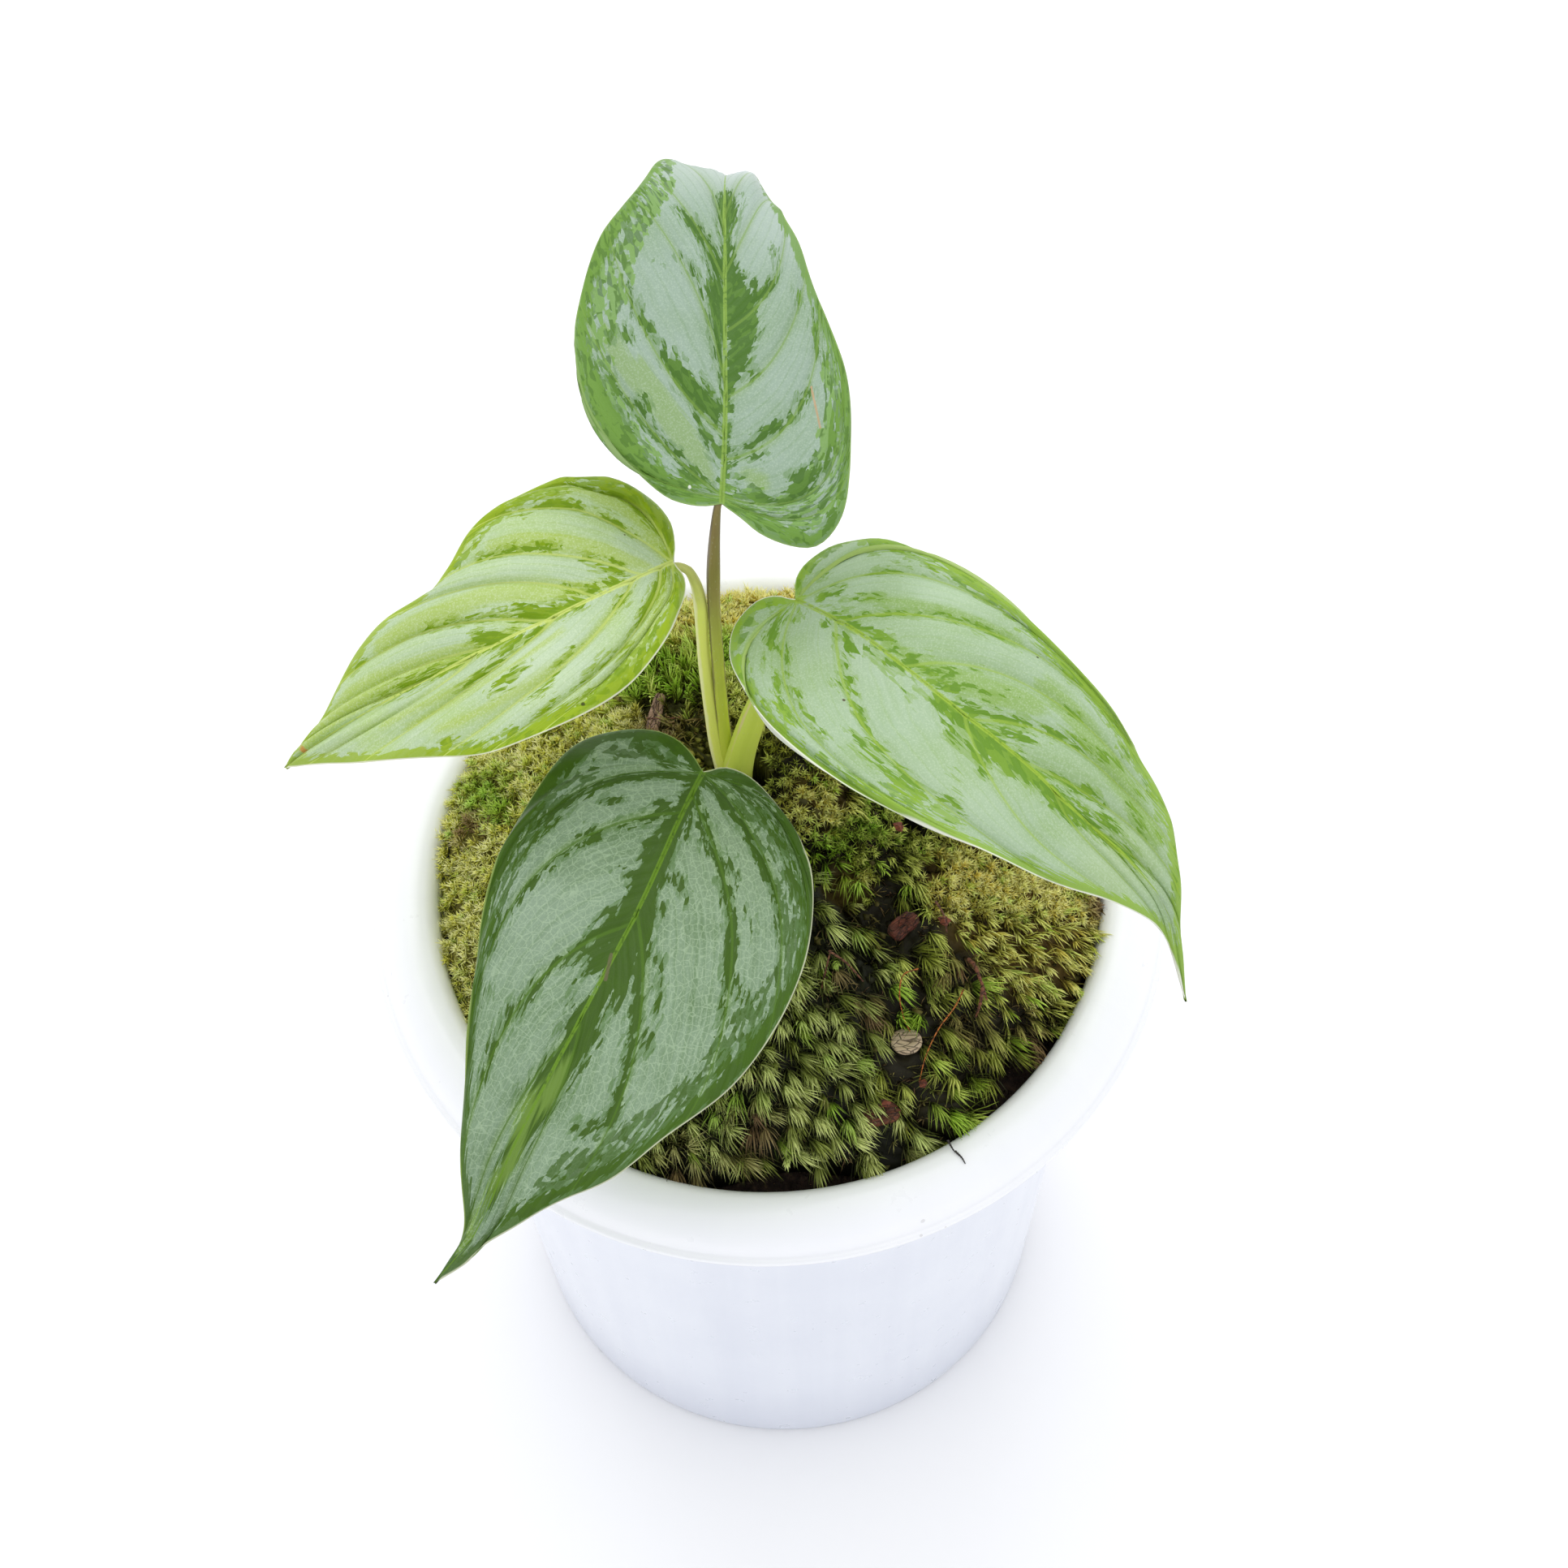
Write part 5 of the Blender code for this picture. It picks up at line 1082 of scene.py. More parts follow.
LEAVES["leaf_right"] = dict(
    midrib=(
        (6.3, 18, 178), (15.5, 9.2, 181.5), (27, -3.5, 183), (37.5, -13, 180.5), (45, -20, 176.5),
        (52.5, -25.5, 171), (57.5, -31, 165), (60, -38.3, 152),
    ),
    roll=(0, 0), fold=(8, 8), cup=5, wave=(0.6, 5, 1), quilt=0.65,
    left=(
        (0, 0), (-2.6, -2), (-6.4, -3), (-11, -2), (-14, 2), (-16, 8.4), (-17.4, 17), (-17.9, 27),
        (-17.6, 36), (-16, 45), (-14.3, 53), (-12.6, 61.4), (-8.8, 67), (-4.6, 72), (-1.8, 77.6), (-0.9, 84),
        (0, 91.5),
    ),
    right=(
        (0, 0), (1.2, -2.6), (4, -4.6), (8.9, -4.4), (13.4, -1.2), (17, 4), (20.3, 12), (21.4, 20.5),
        (20.9, 28.6), (18.8, 36.4), (16.4, 45.8), (12.9, 54), (9.4, 62), (5.6, 70.6), (2.4, 76.6), (0.8, 82),
        (0, 91.5),
    ),
    left_veins=(
        (0, -24.5, -0.6, 0.53), (0.4, -23.5, 11.9, 0.63), (8.8, -21.1, 26.9, 0.71), (22, -14.5, 32, 0.755),
        (35.1, -11, 47.3, 0.8), (44.7, -6.2, 58.7, 0.85), (57, -2, 71, 0.92),
    ),
    right_veins=(
        (0, 25.6, -4.4, 0.47), (0.5, 27.5, 11, 0.62), (8.2, 21.7, 26.7, 0.74), (34, 11.7, 47.3, 0.8),
        (51.2, 4.5, 59.8, 0.88), (59, 1.5, 71, 0.94),
    ),
    dark=(
        (-1.5, -1.2, 0.5, -5.9, -3, 0.7, -8.5, -3.1, 0.8, -10.8, -2.1, 0.6, -12.7, 0.2, 0.4, -15, 6.1, 0.4,
         -16.9, 16.9, 0.4, -17.7, 29.6, 0.4), (-5, 0.8, 0.3, -5.7, 1.1, 0.4),
        (-4.5, 4.1, 0.3, -5.2, 5.5, 0.3), (-2.1, 3.3, 0.6, -3.2, 4.6, 0.7, -3.7, 5.9, 0.3),
        (-4.9, 9.4, 0.4, -6.6, 11.6, 0.3), (-12.3, 10.9, 0.3, -9, 7.1, 0.2), (-12.8, 5.7, 0.5, -12, 4.7, 0.3),
        (-14.9, 13.3, 0.2, -15.8, 15.9, 0.3), (-14.5, 8.5, 0.3, -15, 10.3, 0.2),
        (-1.5, 9.8, 0.2, -9.8, 19.7, 0.2, -11.8, 24.8, 0.4, -13.5, 32.9, 0.2),
        (-0.9, 6.9, 0.3, -0.5, 9.8, 0.6, -1.1, 14.7, 0.8, -1.7, 16.5, 0.6, -2.9, 17.6, 0.2),
        (-0.6, 17.4, 0.6, -1.2, 21.2, 0.2, -3.6, 24.1, 0.1), (-0.7, 23, 0.4, -4, 28.5, 0.4),
        (-0.5, 26.6, 0.4, -1.4, 28.8, 0.6, -4.2, 32.4, 0.3), (-3.7, 34.7, 0.2, -6.8, 37.6, 0.4),
        (-0.9, 33.3, 0.2, -7.1, 30.4, 0.2), (-0.9, 33.4, 0.4, -1, 34.8, 0.6, -4.4, 40.8, 0.3),
        (1.6, 10.8, 0.4, 2.5, 12.5, 0.7, 3.3, 15.2, 0.2), (1.5, 15, 0.6, 2.9, 17.2, 0.2),
        (1.2, 6.6, 0.3, 2.1, 7.9, 0.3, 2.1, 8.9, 0.2), (1, 17.3, 0.6, 1.9, 22.1, 0.4),
        (0.4, 21.9, 0.6, 0.6, 23.9, 0.4, 2.3, 24.9, 0.2, 3.4, 27, 0.1),
        (0.5, 27.2, 0.3, 2.5, 32.9, 0.7, 4.6, 35.5, 0.2), (0.5, 31.3, 0.9, 0.8, 33.5, 1, 3.4, 37.4, 0.4),
        (1.6, 37.2, 0.7, 6.6, 43.3, 0.2), (0, 34.4, 0.8, 0.8, 44.9, 1.3), (2.5, 41.8, 0.7, 2.7, 45.2, 0.4),
        (2.2, 10.1, 0.2, 11, 23.9, 0.4, 13.4, 30, 0.2, 13.5, 32.5, 0.4, 14.9, 38.3, 0.3),
        (14, 25, 0.4, 14.2, 26.7, 0.7, 14.8, 28.2, 0.4),
        (15.2, 30.2, 0.4, 15.5, 33.4, 0.7, 16.2, 35.2, 0.5, 16, 36.3, 0.3), (7.6, 15.6, 0.2, 9.2, 17.5, 0.1),
        (1.7, 2.4, 0.3, 3.2, 3.5, 0.4, 3.2, 2.6, 0.2), (7.9, 6, 0.2, 11.9, 9.5, 0.1),
        (13.9, 12.5, 0.2, 17.4, 22.4, 0.3, 17.5, 24.4, 0.2),
        (2.5, 0, 0.6, 4.2, 0.3, 0.7, 8.8, 2.8, 0.7, 9.6, 5.2, 0.4), (12.8, 5.2, 0.4),
        (13.5, 8.3, 0.3, 15, 10.8, 0.4, 17.5, 12.9, 0.5, 18.2, 18.8, 0.6),
        (0.8, -0.7, 0.3, 4.1, -3.7, 0.5, 6.2, -4.4, 0.6, 8.5, -4, 0.6, 11.2, -2.6, 0.6, 13.6, -0.2, 0.4,
         18.2, 6.3, 0.4), (8.6, 38.5, 0.2, 9.3, 39.2, 0.2),
        (12.8, 39.6, 0.5, 12.1, 40.3, 0.5, 13.3, 43.4, 0.5),
        (0.5, 34, 0.7, 1.6, 39.5, 1.6, 1.6, 41.9, 1.6, 0, 57.1, 1.2, -0.3, 70.2, 0.1),
        (-1.8, 40.3, 0.7, -3.2, 44.2, 0.4), (-0.9, 48.9, 0.7, -1.9, 50.3, 0.4),
        (-2, 52.1, 0.4, -3.1, 54.3, 0.6, -3.8, 57.6, 0.2), (-2.2, 58.4, 0.7, -1.8, 62.5, 0.3),
        (-0.9, 64.5, 0.3, -0.9, 67.8, 0.2),
        (-1.2, 37, 0.4, -4.5, 41.5, 0.3, -7.2, 47.3, 0.3, -9.8, 56.2, 0.4), (-10.6, 54.7, 0.3),
        (-9.1, 59.3, 0.2, -8.3, 61.8, 0.2), (-5.7, 61, 0.4, -4.6, 64.8, 0.2),
        (-5.3, 67.3, 0.4, -5.8, 66.5, 0.2), (-9.4, 43.4, 0.4, -11, 46.4, 0.4),
        (8.9, 38.8, 0.3, 9.7, 39.4, 0.1), (5.8, 35.2, 0.4, 2.7, 34.2, 0.3), (3.9, 38.9, 0.8, 6.1, 42, 0.3),
        (2.9, 42.9, 0.7, 3.2, 46.4, 0.3), (1.7, 50.1, 0.3, 2.5, 51.6, 0.2), (1.5, 55.6, 0.7, 1.2, 56.5, 0.4),
        (15.2, 31.7, 0.5, 15.4, 34.7, 0.8, 14.6, 36.2, 0.5, 15, 37.8, 0.3), (11.7, 53.8, 0.3, 10.7, 56, 0.3),
        (-15.9, 36, 0.3, -15.3, 45.3, 0.6, -12.3, 59.3, 0.3), (-10.7, 64.3, 0.3, -9.8, 65.2, 0.3),
        (-6.5, 69.4, 0.3, -2, 74.6, 0.3),
    ),
    mottle=(
        (-2.4, -1.3, 0.8, -6.2, -2.4, 1.1, -10.2, -1.1, 0.9, -13.1, 2.7, 0.8, -15.6, 12.4, 0.8,
         -16.8, 27.1, 0.9),
        (6.8, -3.8, 1.3, 12, -0.7, 1.2, 16, 3.5, 1.2, 19.2, 9.8, 1.2, 21.2, 17.4, 1.2, 21.6, 23.1, 1.2,
         18.7, 36.1, 1.2), (-17.5, 29.7, 1.4, -16.8, 38.3, 1.4, -11.6, 62, 1.3, -8, 65.9, 0.9),
        (16.9, 33.7, 1.1, 14.2, 44.6, 0.7),
    ),
    clear=(
        (-1.5, 17.4, 0.9, -1.3, 21.1, 1.4, -2.6, 26.4, 1.7, -4.1, 31.4, 1.8, -5.8, 36.2, 2, -7.5, 40.7, 1.8),
        (-4.9, 9.4, 0.7, -7.9, 14.8, 0.9, -10.9, 20.4, 0.9, -12.9, 27.3, 0.9, -13.9, 33.5, 0.9),
        (21.3, 14.4, 0.7, 21.7, 22.4, 0.9, 21.2, 28.1, 0.8, 19.7, 32.2, 0.8, 18.4, 37.3, 0.8),
        (-11, 39.9, 1.5, -10.2, 46.8, 1.9, -8.8, 53.4, 1.9, -6.9, 61.2, 1.6, -4.8, 66.4, 1.3),
    ),
    colours=dict(
        clear=(0.25, 0.4, 0.1), silver=(0.36, 0.485, 0.315), cloud=(0.27, 0.41, 0.16), light=(0.58, 0.7, 0.5),
        half=(0.23, 0.38, 0.08), dark=(0.13, 0.27, 0.02), mottle=(0.24, 0.4, 0.06), band=(0.26, 0.43, 0.04),
        vein=(0.33, 0.49, 0.07), rib=(0.32, 0.48, 0.05), edge_left=(0.34, 0.5, 0.13),
        # edge_right: the margin's pale line, with a painted highlight along this lower margin.
        edge_right=(0.86, 0.86, 0.76), under=(0.36, 0.5, 0.14), clear_share=0.85, clear_dark=0, halo=0.25,
        net=0.12, vein_share=0.55, streaks=0.25,
    ),
    # Painted sheen and painted light: lighter patches over the blade and its upper lobe.
    painted_sheen_and_shade=(
        ((16, 5, 182), 12, 0.45, (0.42, 0.53, 0.4)), ((30, -16, 182), 14, 0.3, (0.43, 0.56, 0.36)),
        ((15, 23, 181), 10, 0.6, (0.49, 0.62, 0.46)), ((29, 15, 183), 11, 0.5, (0.48, 0.62, 0.42)),
        ((50, -26, 172), 12, 0.4, (0.46, 0.58, 0.3)),
    ),
    spots=(
        ((12.3, -2.9, 183.6), (12.3, -2.9, 183.6), 0.3, (0.06, 0.02, 0.01)),
        ((40.8, 2.6, 183.5), (40.8, 2.6, 183.5), 0.25, (0.05, 0.05, 0.01)),
    ),
)
LEAVES["leaf_front"] = dict(
    midrib=(
        (-8.7, -3, 165), (-12.4, -11.7, 167), (-19.5, -28, 168), (-29.5, -44.5, 163.5), (-39, -58.5, 155.5),
        (-44.5, -67, 148), (-51.5, -71.5, 140),
    ),
    roll=(0, 0), fold=(8, 8), cup=5, wave=(0.6, 5, 0.2), quilt=0.6,
    left=(
        (0, 0), (-2.6, -1.4), (-6.8, -1), (-11, 1.1), (-16, 5.4), (-21.2, 11.8), (-24.2, 19.2), (-26.4, 28),
        (-26.2, 36), (-24, 45.6), (-19.6, 54), (-15.6, 62), (-11.3, 67.6), (-6.4, 73.6), (-2.2, 79.6),
        (-1.2, 85), (0, 90.3),
    ),
    right=(
        (0, 0), (2, -1.6), (5.6, -3.6), (10, -4.2), (14.6, -2.6), (18.6, 1.6), (21, 9.4), (22.4, 18),
        (22.4, 28), (20.6, 37.6), (17, 46), (13.6, 54.8), (9.2, 64.4), (5.4, 72), (2.6, 79), (1.1, 85),
        (0, 90.3),
    ),
    left_veins=(
        (0.1, -18.4, 1, 0.38), (0.2, -19.3, 12.3, 0.455), (4.9, -23.6, 32.9, 0.598),
        (27.1, -15.6, 47.3, 0.781), (44.6, -4.9, 56.5, 0.95),
    ),
    right_veins=(
        (0.3, 27.3, 9.6, 0.549), (8.5, 25.6, 21.8, 0.68), (28.8, 15.2, 42.7, 0.84), (47.2, 4, 57, 0.92),
    ),
    dark=(
        (-0.1, 1.3, 1, 0.7, 22.5, 2.3, 0, 29.5, 2.8, -1.3, 38.9, 1.4, -1.3, 49.7, 2.4),
        (1, 1.9, 0.8, 4.3, 3.2, 0.6, 10.5, 6.8, 0.6, 15.3, 11.9, 0.8, 19.1, 18.7, 0.7),
        (0.6, 0.1, 0.6, 4.1, -2.1, 1.1, 7.7, -3.5, 1.2, 11.2, -2.6, 1.2, 14.4, -1, 1.1, 17, 1, 1.2,
         20.6, 11.8, 1.2, 22, 21.2, 1.3, 21.6, 31.5, 0.9, 19.7, 39.4, 0.7, 14, 52.6, 0.4),
        (13.5, 2.2, 0.8, 13.7, 2.8, 0.6), (10, 0.4, 0.4, 10.7, -0.3, 0.3),
        (4.6, 0.6, 0.6, 5.9, 2.1, 0.4, 7.5, 0, 0.4), (11.2, 11.8, 0.3, 9.3, 10.4, 0.3),
        (16.4, 17.7, 0.4, 17.8, 19.2, 0.3, 19.7, 28.6, 0.2),
        (1, 8.8, 0.8, 6.4, 13.3, 0.5, 12.6, 20.9, 0.4, 15.1, 26.3, 0.3, 17.5, 37.4, 0.3, 17.2, 39.4, 0.5),
        (11.8, 16.9, 0.4, 12.9, 17.9, 0.3), (2.1, 8.9, 0.5, 3.6, 8, 0.3, 4.2, 9.4, 0.2),
        (1.9, 15.4, 0.8, 3.3, 15.7, 0.3), (2.4, 21.9, 1, 5.1, 21.8, 0.3), (1.7, 27.1, 1, 4.8, 30.3, 0.3),
        (1.7, 29.6, 0.9, 4.7, 33.3, 0.4),
        (1.2, 30.6, 1.4, 6.7, 39.4, 0.8, 7.5, 40.2, 0.5, 10.1, 49.3, 0.2, 9.5, 54.2, 0.2),
        (1.1, 34.5, 1.4, 3.1, 39.9, 0.4), (2.3, 43.2, 0.5),
        (-1.6, 1.9, 0.8, -10.4, 9.2, 0.5, -17.9, 18.1, 0.5, -21.7, 24.1, 0.3),
        (-1.5, 0.5, 0.5, -4.2, -0.2, 0.7, -7.3, 0, 0.8, -10.5, 1.4, 0.9, -15.4, 5.5, 1, -19.9, 11.2, 0.8,
         -24.4, 20.3, 0.9, -27, 27.2, 0.6), (-5.5, 1.1, 0.6, -15.9, 9.8, 0.4, -21.9, 18.3, 0.6),
        (-1.3, 6.6, 0.7, -8.4, 15.9, 0.4, -14.4, 25.2, 0.8, -16.1, 29.3, 0.8, -17.4, 30.9, 0.9,
         -19.1, 31.9, 0.7), (-9.9, 15, 0.4, -11.7, 18.2, 0.6), (-15.5, 21.6, 0.5, -17.3, 24.6, 0.3),
        (-3.4, 10.6, 0.6, -6, 14.4, 0.3), (-1.8, 9.2, 0.6, -2.5, 13.6, 0.2),
        (-1.7, 20.8, 1.4, -3, 20, 0.9, -6, 23.2, 0.3), (-2.2, 24.8, 0.5, -3.5, 25.9, 0.3),
        (-3.7, 30.1, 0.5, -6.9, 33, 0.3, -9.9, 38.4, 0.3), (-0.9, 26, 1.4, -5.2, 36.4, 1, -9.4, 44.4, 0.4),
        (-2.7, 35.6, 1.7, -3.1, 37.7, 1.5, -4.4, 41, 0.3), (-0.8, 43.8, 2.1, -0.8, 57.6, 2.1, 0.3, 78.4, 0.1),
        (0.6, 53, 0.7, 1.3, 55.3, 0.7, 3, 58.5, 0.2), (8, 44.4, 0.4, 9.4, 53.7, 0.3, 8.2, 60.4, 0.2),
        (19.5, 41.3, 0.6, 9.7, 62.4, 0.5, 8.1, 64.2, 0.3), (14.1, 46.4, 0.3, 13.7, 47.9, 0.2),
        (18, 36.4, 0.7, 18.3, 38.2, 0.7, 17.9, 40.5, 0.5, 16.5, 40.4, 0.3),
        (-24.1, 19.3, 0.5, -26.1, 27.6, 0.8, -24.5, 39, 1.3, -22.5, 46.7, 1, -19.8, 52.6, 0.8,
         -14.8, 60.7, 0.4, -7.6, 70.2, 1, -4.3, 73.9, 0.8, -1.9, 77.3, 0.3),
        (-1.7, 40.3, 0.7, -2.8, 44.4, 0.6, -4.1, 46.3, 0.3), (-3.9, 49.2, 0.3, -3.7, 53.1, 0.3),
        (-10.6, 42.3, 0.6, -11.7, 43.5, 0.5, -11.5, 45.3, 0.2),
        (-6.6, 39.6, 0.7, -7.8, 42.1, 0.5, -11.5, 53, 0.6, -11.3, 55.3, 0.9, -10, 56.7, 0.7, -9.6, 58.8, 0.5),
        (-7.1, 57.4, 0.5, -7.6, 58.9, 0.3), (-13.8, 58.2, 0.3, -12.5, 60.7, 0.4),
        (-18.2, 33.7, 0.3, -19.7, 38.7, 0.3), (-21.7, 40.3, 0.4, -22.5, 38.9, 0.3),
        (-17.1, 31, 0.8, -19.1, 31.2, 0.6, -21.3, 32.3, 0.5), (-15.2, 53.7, 0.4, -15.4, 54.7, 0.3),
        (-7.8, 65.6, 0.4, -9.8, 65.5, 0.4), (0.9, 53.9, 0.3, 0.2, 50.8, 0.8),
    ),
    mottle=(
        (3.6, -0.9, 1.4, 7.8, -0.8, 2.1, 12.7, 1.3, 2.1, 15.7, 5.3, 1.8, 17.5, 10.2, 1.8, 20.3, 20.6, 1.7,
         19.9, 32.6, 1.4, 18, 41.8, 1.4),
        (-4.3, 3.1, 1.1, -8.8, 5.1, 1.7, -13.7, 8.9, 1.7, -20.9, 18.6, 1.7, -25.3, 28.8, 1.7),
        (-24.5, 27.5, 1.7, -22.6, 35.2, 2, -22.2, 39.7, 2.2, -19.1, 50.1, 2, -11.1, 61.5, 2, -6.5, 70.4, 1.4),
    ),
    clear=(
        (-1.3, 49.4, 0.5, -1.4, 53.4, 1.1, -1.1, 58, 1.5), (0.9, 57, 0.9, 0.7, 61, 1.5, -0.5, 64.5, 1.2),
        (-1, 66, 1.2, -0.3, 69.5, 1.3, 0.8, 73, 1), (1.1, 77, 1.2, 0.8, 81, 1.3, 0.1, 84.1, 1),
    ),
    colours=dict(
        clear=(0.185, 0.31, 0.05), silver=(0.213, 0.305, 0.195), cloud=(0.11, 0.19, 0.08),
        light=(0.42, 0.55, 0.36), half=(0.1, 0.19, 0.06), dark=(0.045, 0.1, 0.008),
        mottle=(0.045, 0.11, 0.004), band=(0.05, 0.115, 0.005), vein=(0.08, 0.17, 0.015),
        # edge_left: the margin's pale line, with a painted highlight along this lower margin.
        rib=(0.14, 0.27, 0.02), edge_left=(0.62, 0.64, 0.45), edge_right=(0.28, 0.38, 0.1),
        under=(0.2, 0.32, 0.08), clear_share=0.9, clear_dark=0.65, halo=0.3, net=0.42, vein_share=0.7,
        streaks=0.6,
    ),
    # Painted sheen and shade: soft lighter and darker patches.
    painted_sheen_and_shade=(
        ((-36, -26, 166), 16, 0.45, (0.28, 0.365, 0.28)), ((-4, -20, 167), 16, 0.5, (0.175, 0.26, 0.135)),
    ),
    spots=(
        ((-23.2, -33.6, 167.4), (-24.2, -37.2, 166.6), 0.3, (0.13, 0.125, 0.06)),
    ),
)
ROW_STEP, LEAST_ROWS = 1.15, 9
LEAF_COLUMNS = 34
# How much closer the columns lie at the midrib and the margin than between them.
COLUMNS_CROWDED = 0.62
LEAF_HALF_THICK = 0.19
MIDRIB_KEEL, VEIN_KEEL, KEEL_WIDE = 0.9, 0.3, 0.8
MIDRIB_RAISED, MIDRIB_TROUGH = 0.22, 0.1
TROUGH_OUT, TROUGH_WIDE = 1.3, 0.5
# The midrib's width at the stalk, past the blade's middle and at the tip.
MIDRIB_WIDE = (0.65, 0.38, 0.16)
VEIN_GROOVE, GROOVE_WIDE = 0.32, 0.45
# How far from the stalk the relief has its full height, and the quilting.
RELIEF_FULL, QUILT_FULL = 3, 12
BASAL_ROWS, BASAL_SPAN, MARGIN_ROWS = 9, 0.24, 24
LEAF_RAGGED = 1.15
MIDRIB_STEPS, OUTLINE_STEPS = 200, 600
VEIN_HALF, VEIN_THINNING = 0.5, 0.36
FLUTES, FLUTE_DEEP = 5, 0.05
# What is added to the flow of a blade's left half, so that its material can tell the halves apart.
LEFT_FLOW = 40.0


class Blade:
    """Carries flat places of a leaf to the bent surface that hangs on its midrib, in millimetres."""

    def __init__(self, leaf):
        self.along, self.spine = smooth_curve(leaf["midrib"], MIDRIB_STEPS)
        self.length = self.along[-1]
        self.slopes = one_long(np.gradient(self.spine, self.along, axis=0))
        self.roll, self.fold = np.radians(leaf["roll"]), np.radians(leaf["fold"])
        self.cup = leaf["cup"] * MM

    def place(self, x, y, lift):
        kept = np.clip(y, 0, self.length)
        middle = np.stack([np.interp(kept, self.along, column) for column in self.spine.T], -1)
        slope = one_long(np.stack([np.interp(kept, self.along, column) for column in self.slopes.T], -1))
        middle = middle + slope * (y - kept)[..., None]
        across = one_long(np.cross(slope, (0, 0, 1)))
        upward = np.cross(across, slope)
        share = kept / self.length
        roll = np.interp(share, np.linspace(0, 1, len(self.roll)), self.roll)[..., None]
        fold = np.interp(share, np.linspace(0, 1, len(self.fold)), self.fold)
        side = across * np.cos(roll) + upward * np.sin(roll)
        out = upward * np.cos(roll) - across * np.sin(roll)
        rise = np.abs(x) * np.sin(fold) - self.cup * x * x + lift
        return middle + side * (x * np.cos(fold))[..., None] + out * rise[..., None]


def between(values, at):
    """Reads a list of numbers at fractional places, smoothly and without overshoot."""
    values = np.asarray(values, float)
    steps = np.diff(values, axis=0)
    slopes = np.zeros_like(values)
    same = steps[:-1] * steps[1:] > 0
    total = np.where(same, steps[:-1] + steps[1:], 1.0)
    slopes[1:-1] = np.where(same, 2 * steps[:-1] * steps[1:] / total, 0.0)
    slopes[0], slopes[-1] = steps[0], steps[-1]
    first = np.clip(at.astype(int), 0, len(values) - 2)
    t = (at - first)[:, None]
    start, end = values[first], values[first + 1]
    rise = (t**3 - 2 * t**2 + t) * slopes[first] + (t**3 - t**2) * slopes[first + 1]
    return start + (3 * t**2 - 2 * t**3) * (end - start) + rise


def far_from(places, line):
    """How far flat places are from a line of points, and the line's nearest third number, if any."""
    start, end = line[:-1], line[1:]
    run = (end - start)[:, :2]
    share = ((places[:, None] - start[None, :, :2]) * run).sum(-1) / np.maximum(1e-9, (run**2).sum(-1))
    share = np.clip(share, 0, 1)
    nearest = start[None] + share[..., None] * (end - start)[None]
    gap = np.linalg.norm(places[:, None] - nearest[..., :2], axis=-1)
    return gap, nearest[..., 2:]


def depth_in(places, markings):
    """How deep flat places lie inside any of the markings; negative outside."""
    deepest = np.full(len(places), -9.0)
    for marking in markings:
        line = np.reshape(marking if len(marking) > 3 else marking * 2, (-1, 3)).astype(float)
        gap, half_width = far_from(places, line)
        deepest = np.maximum(deepest, (half_width[..., 0] - gap).max(1))
    return deepest


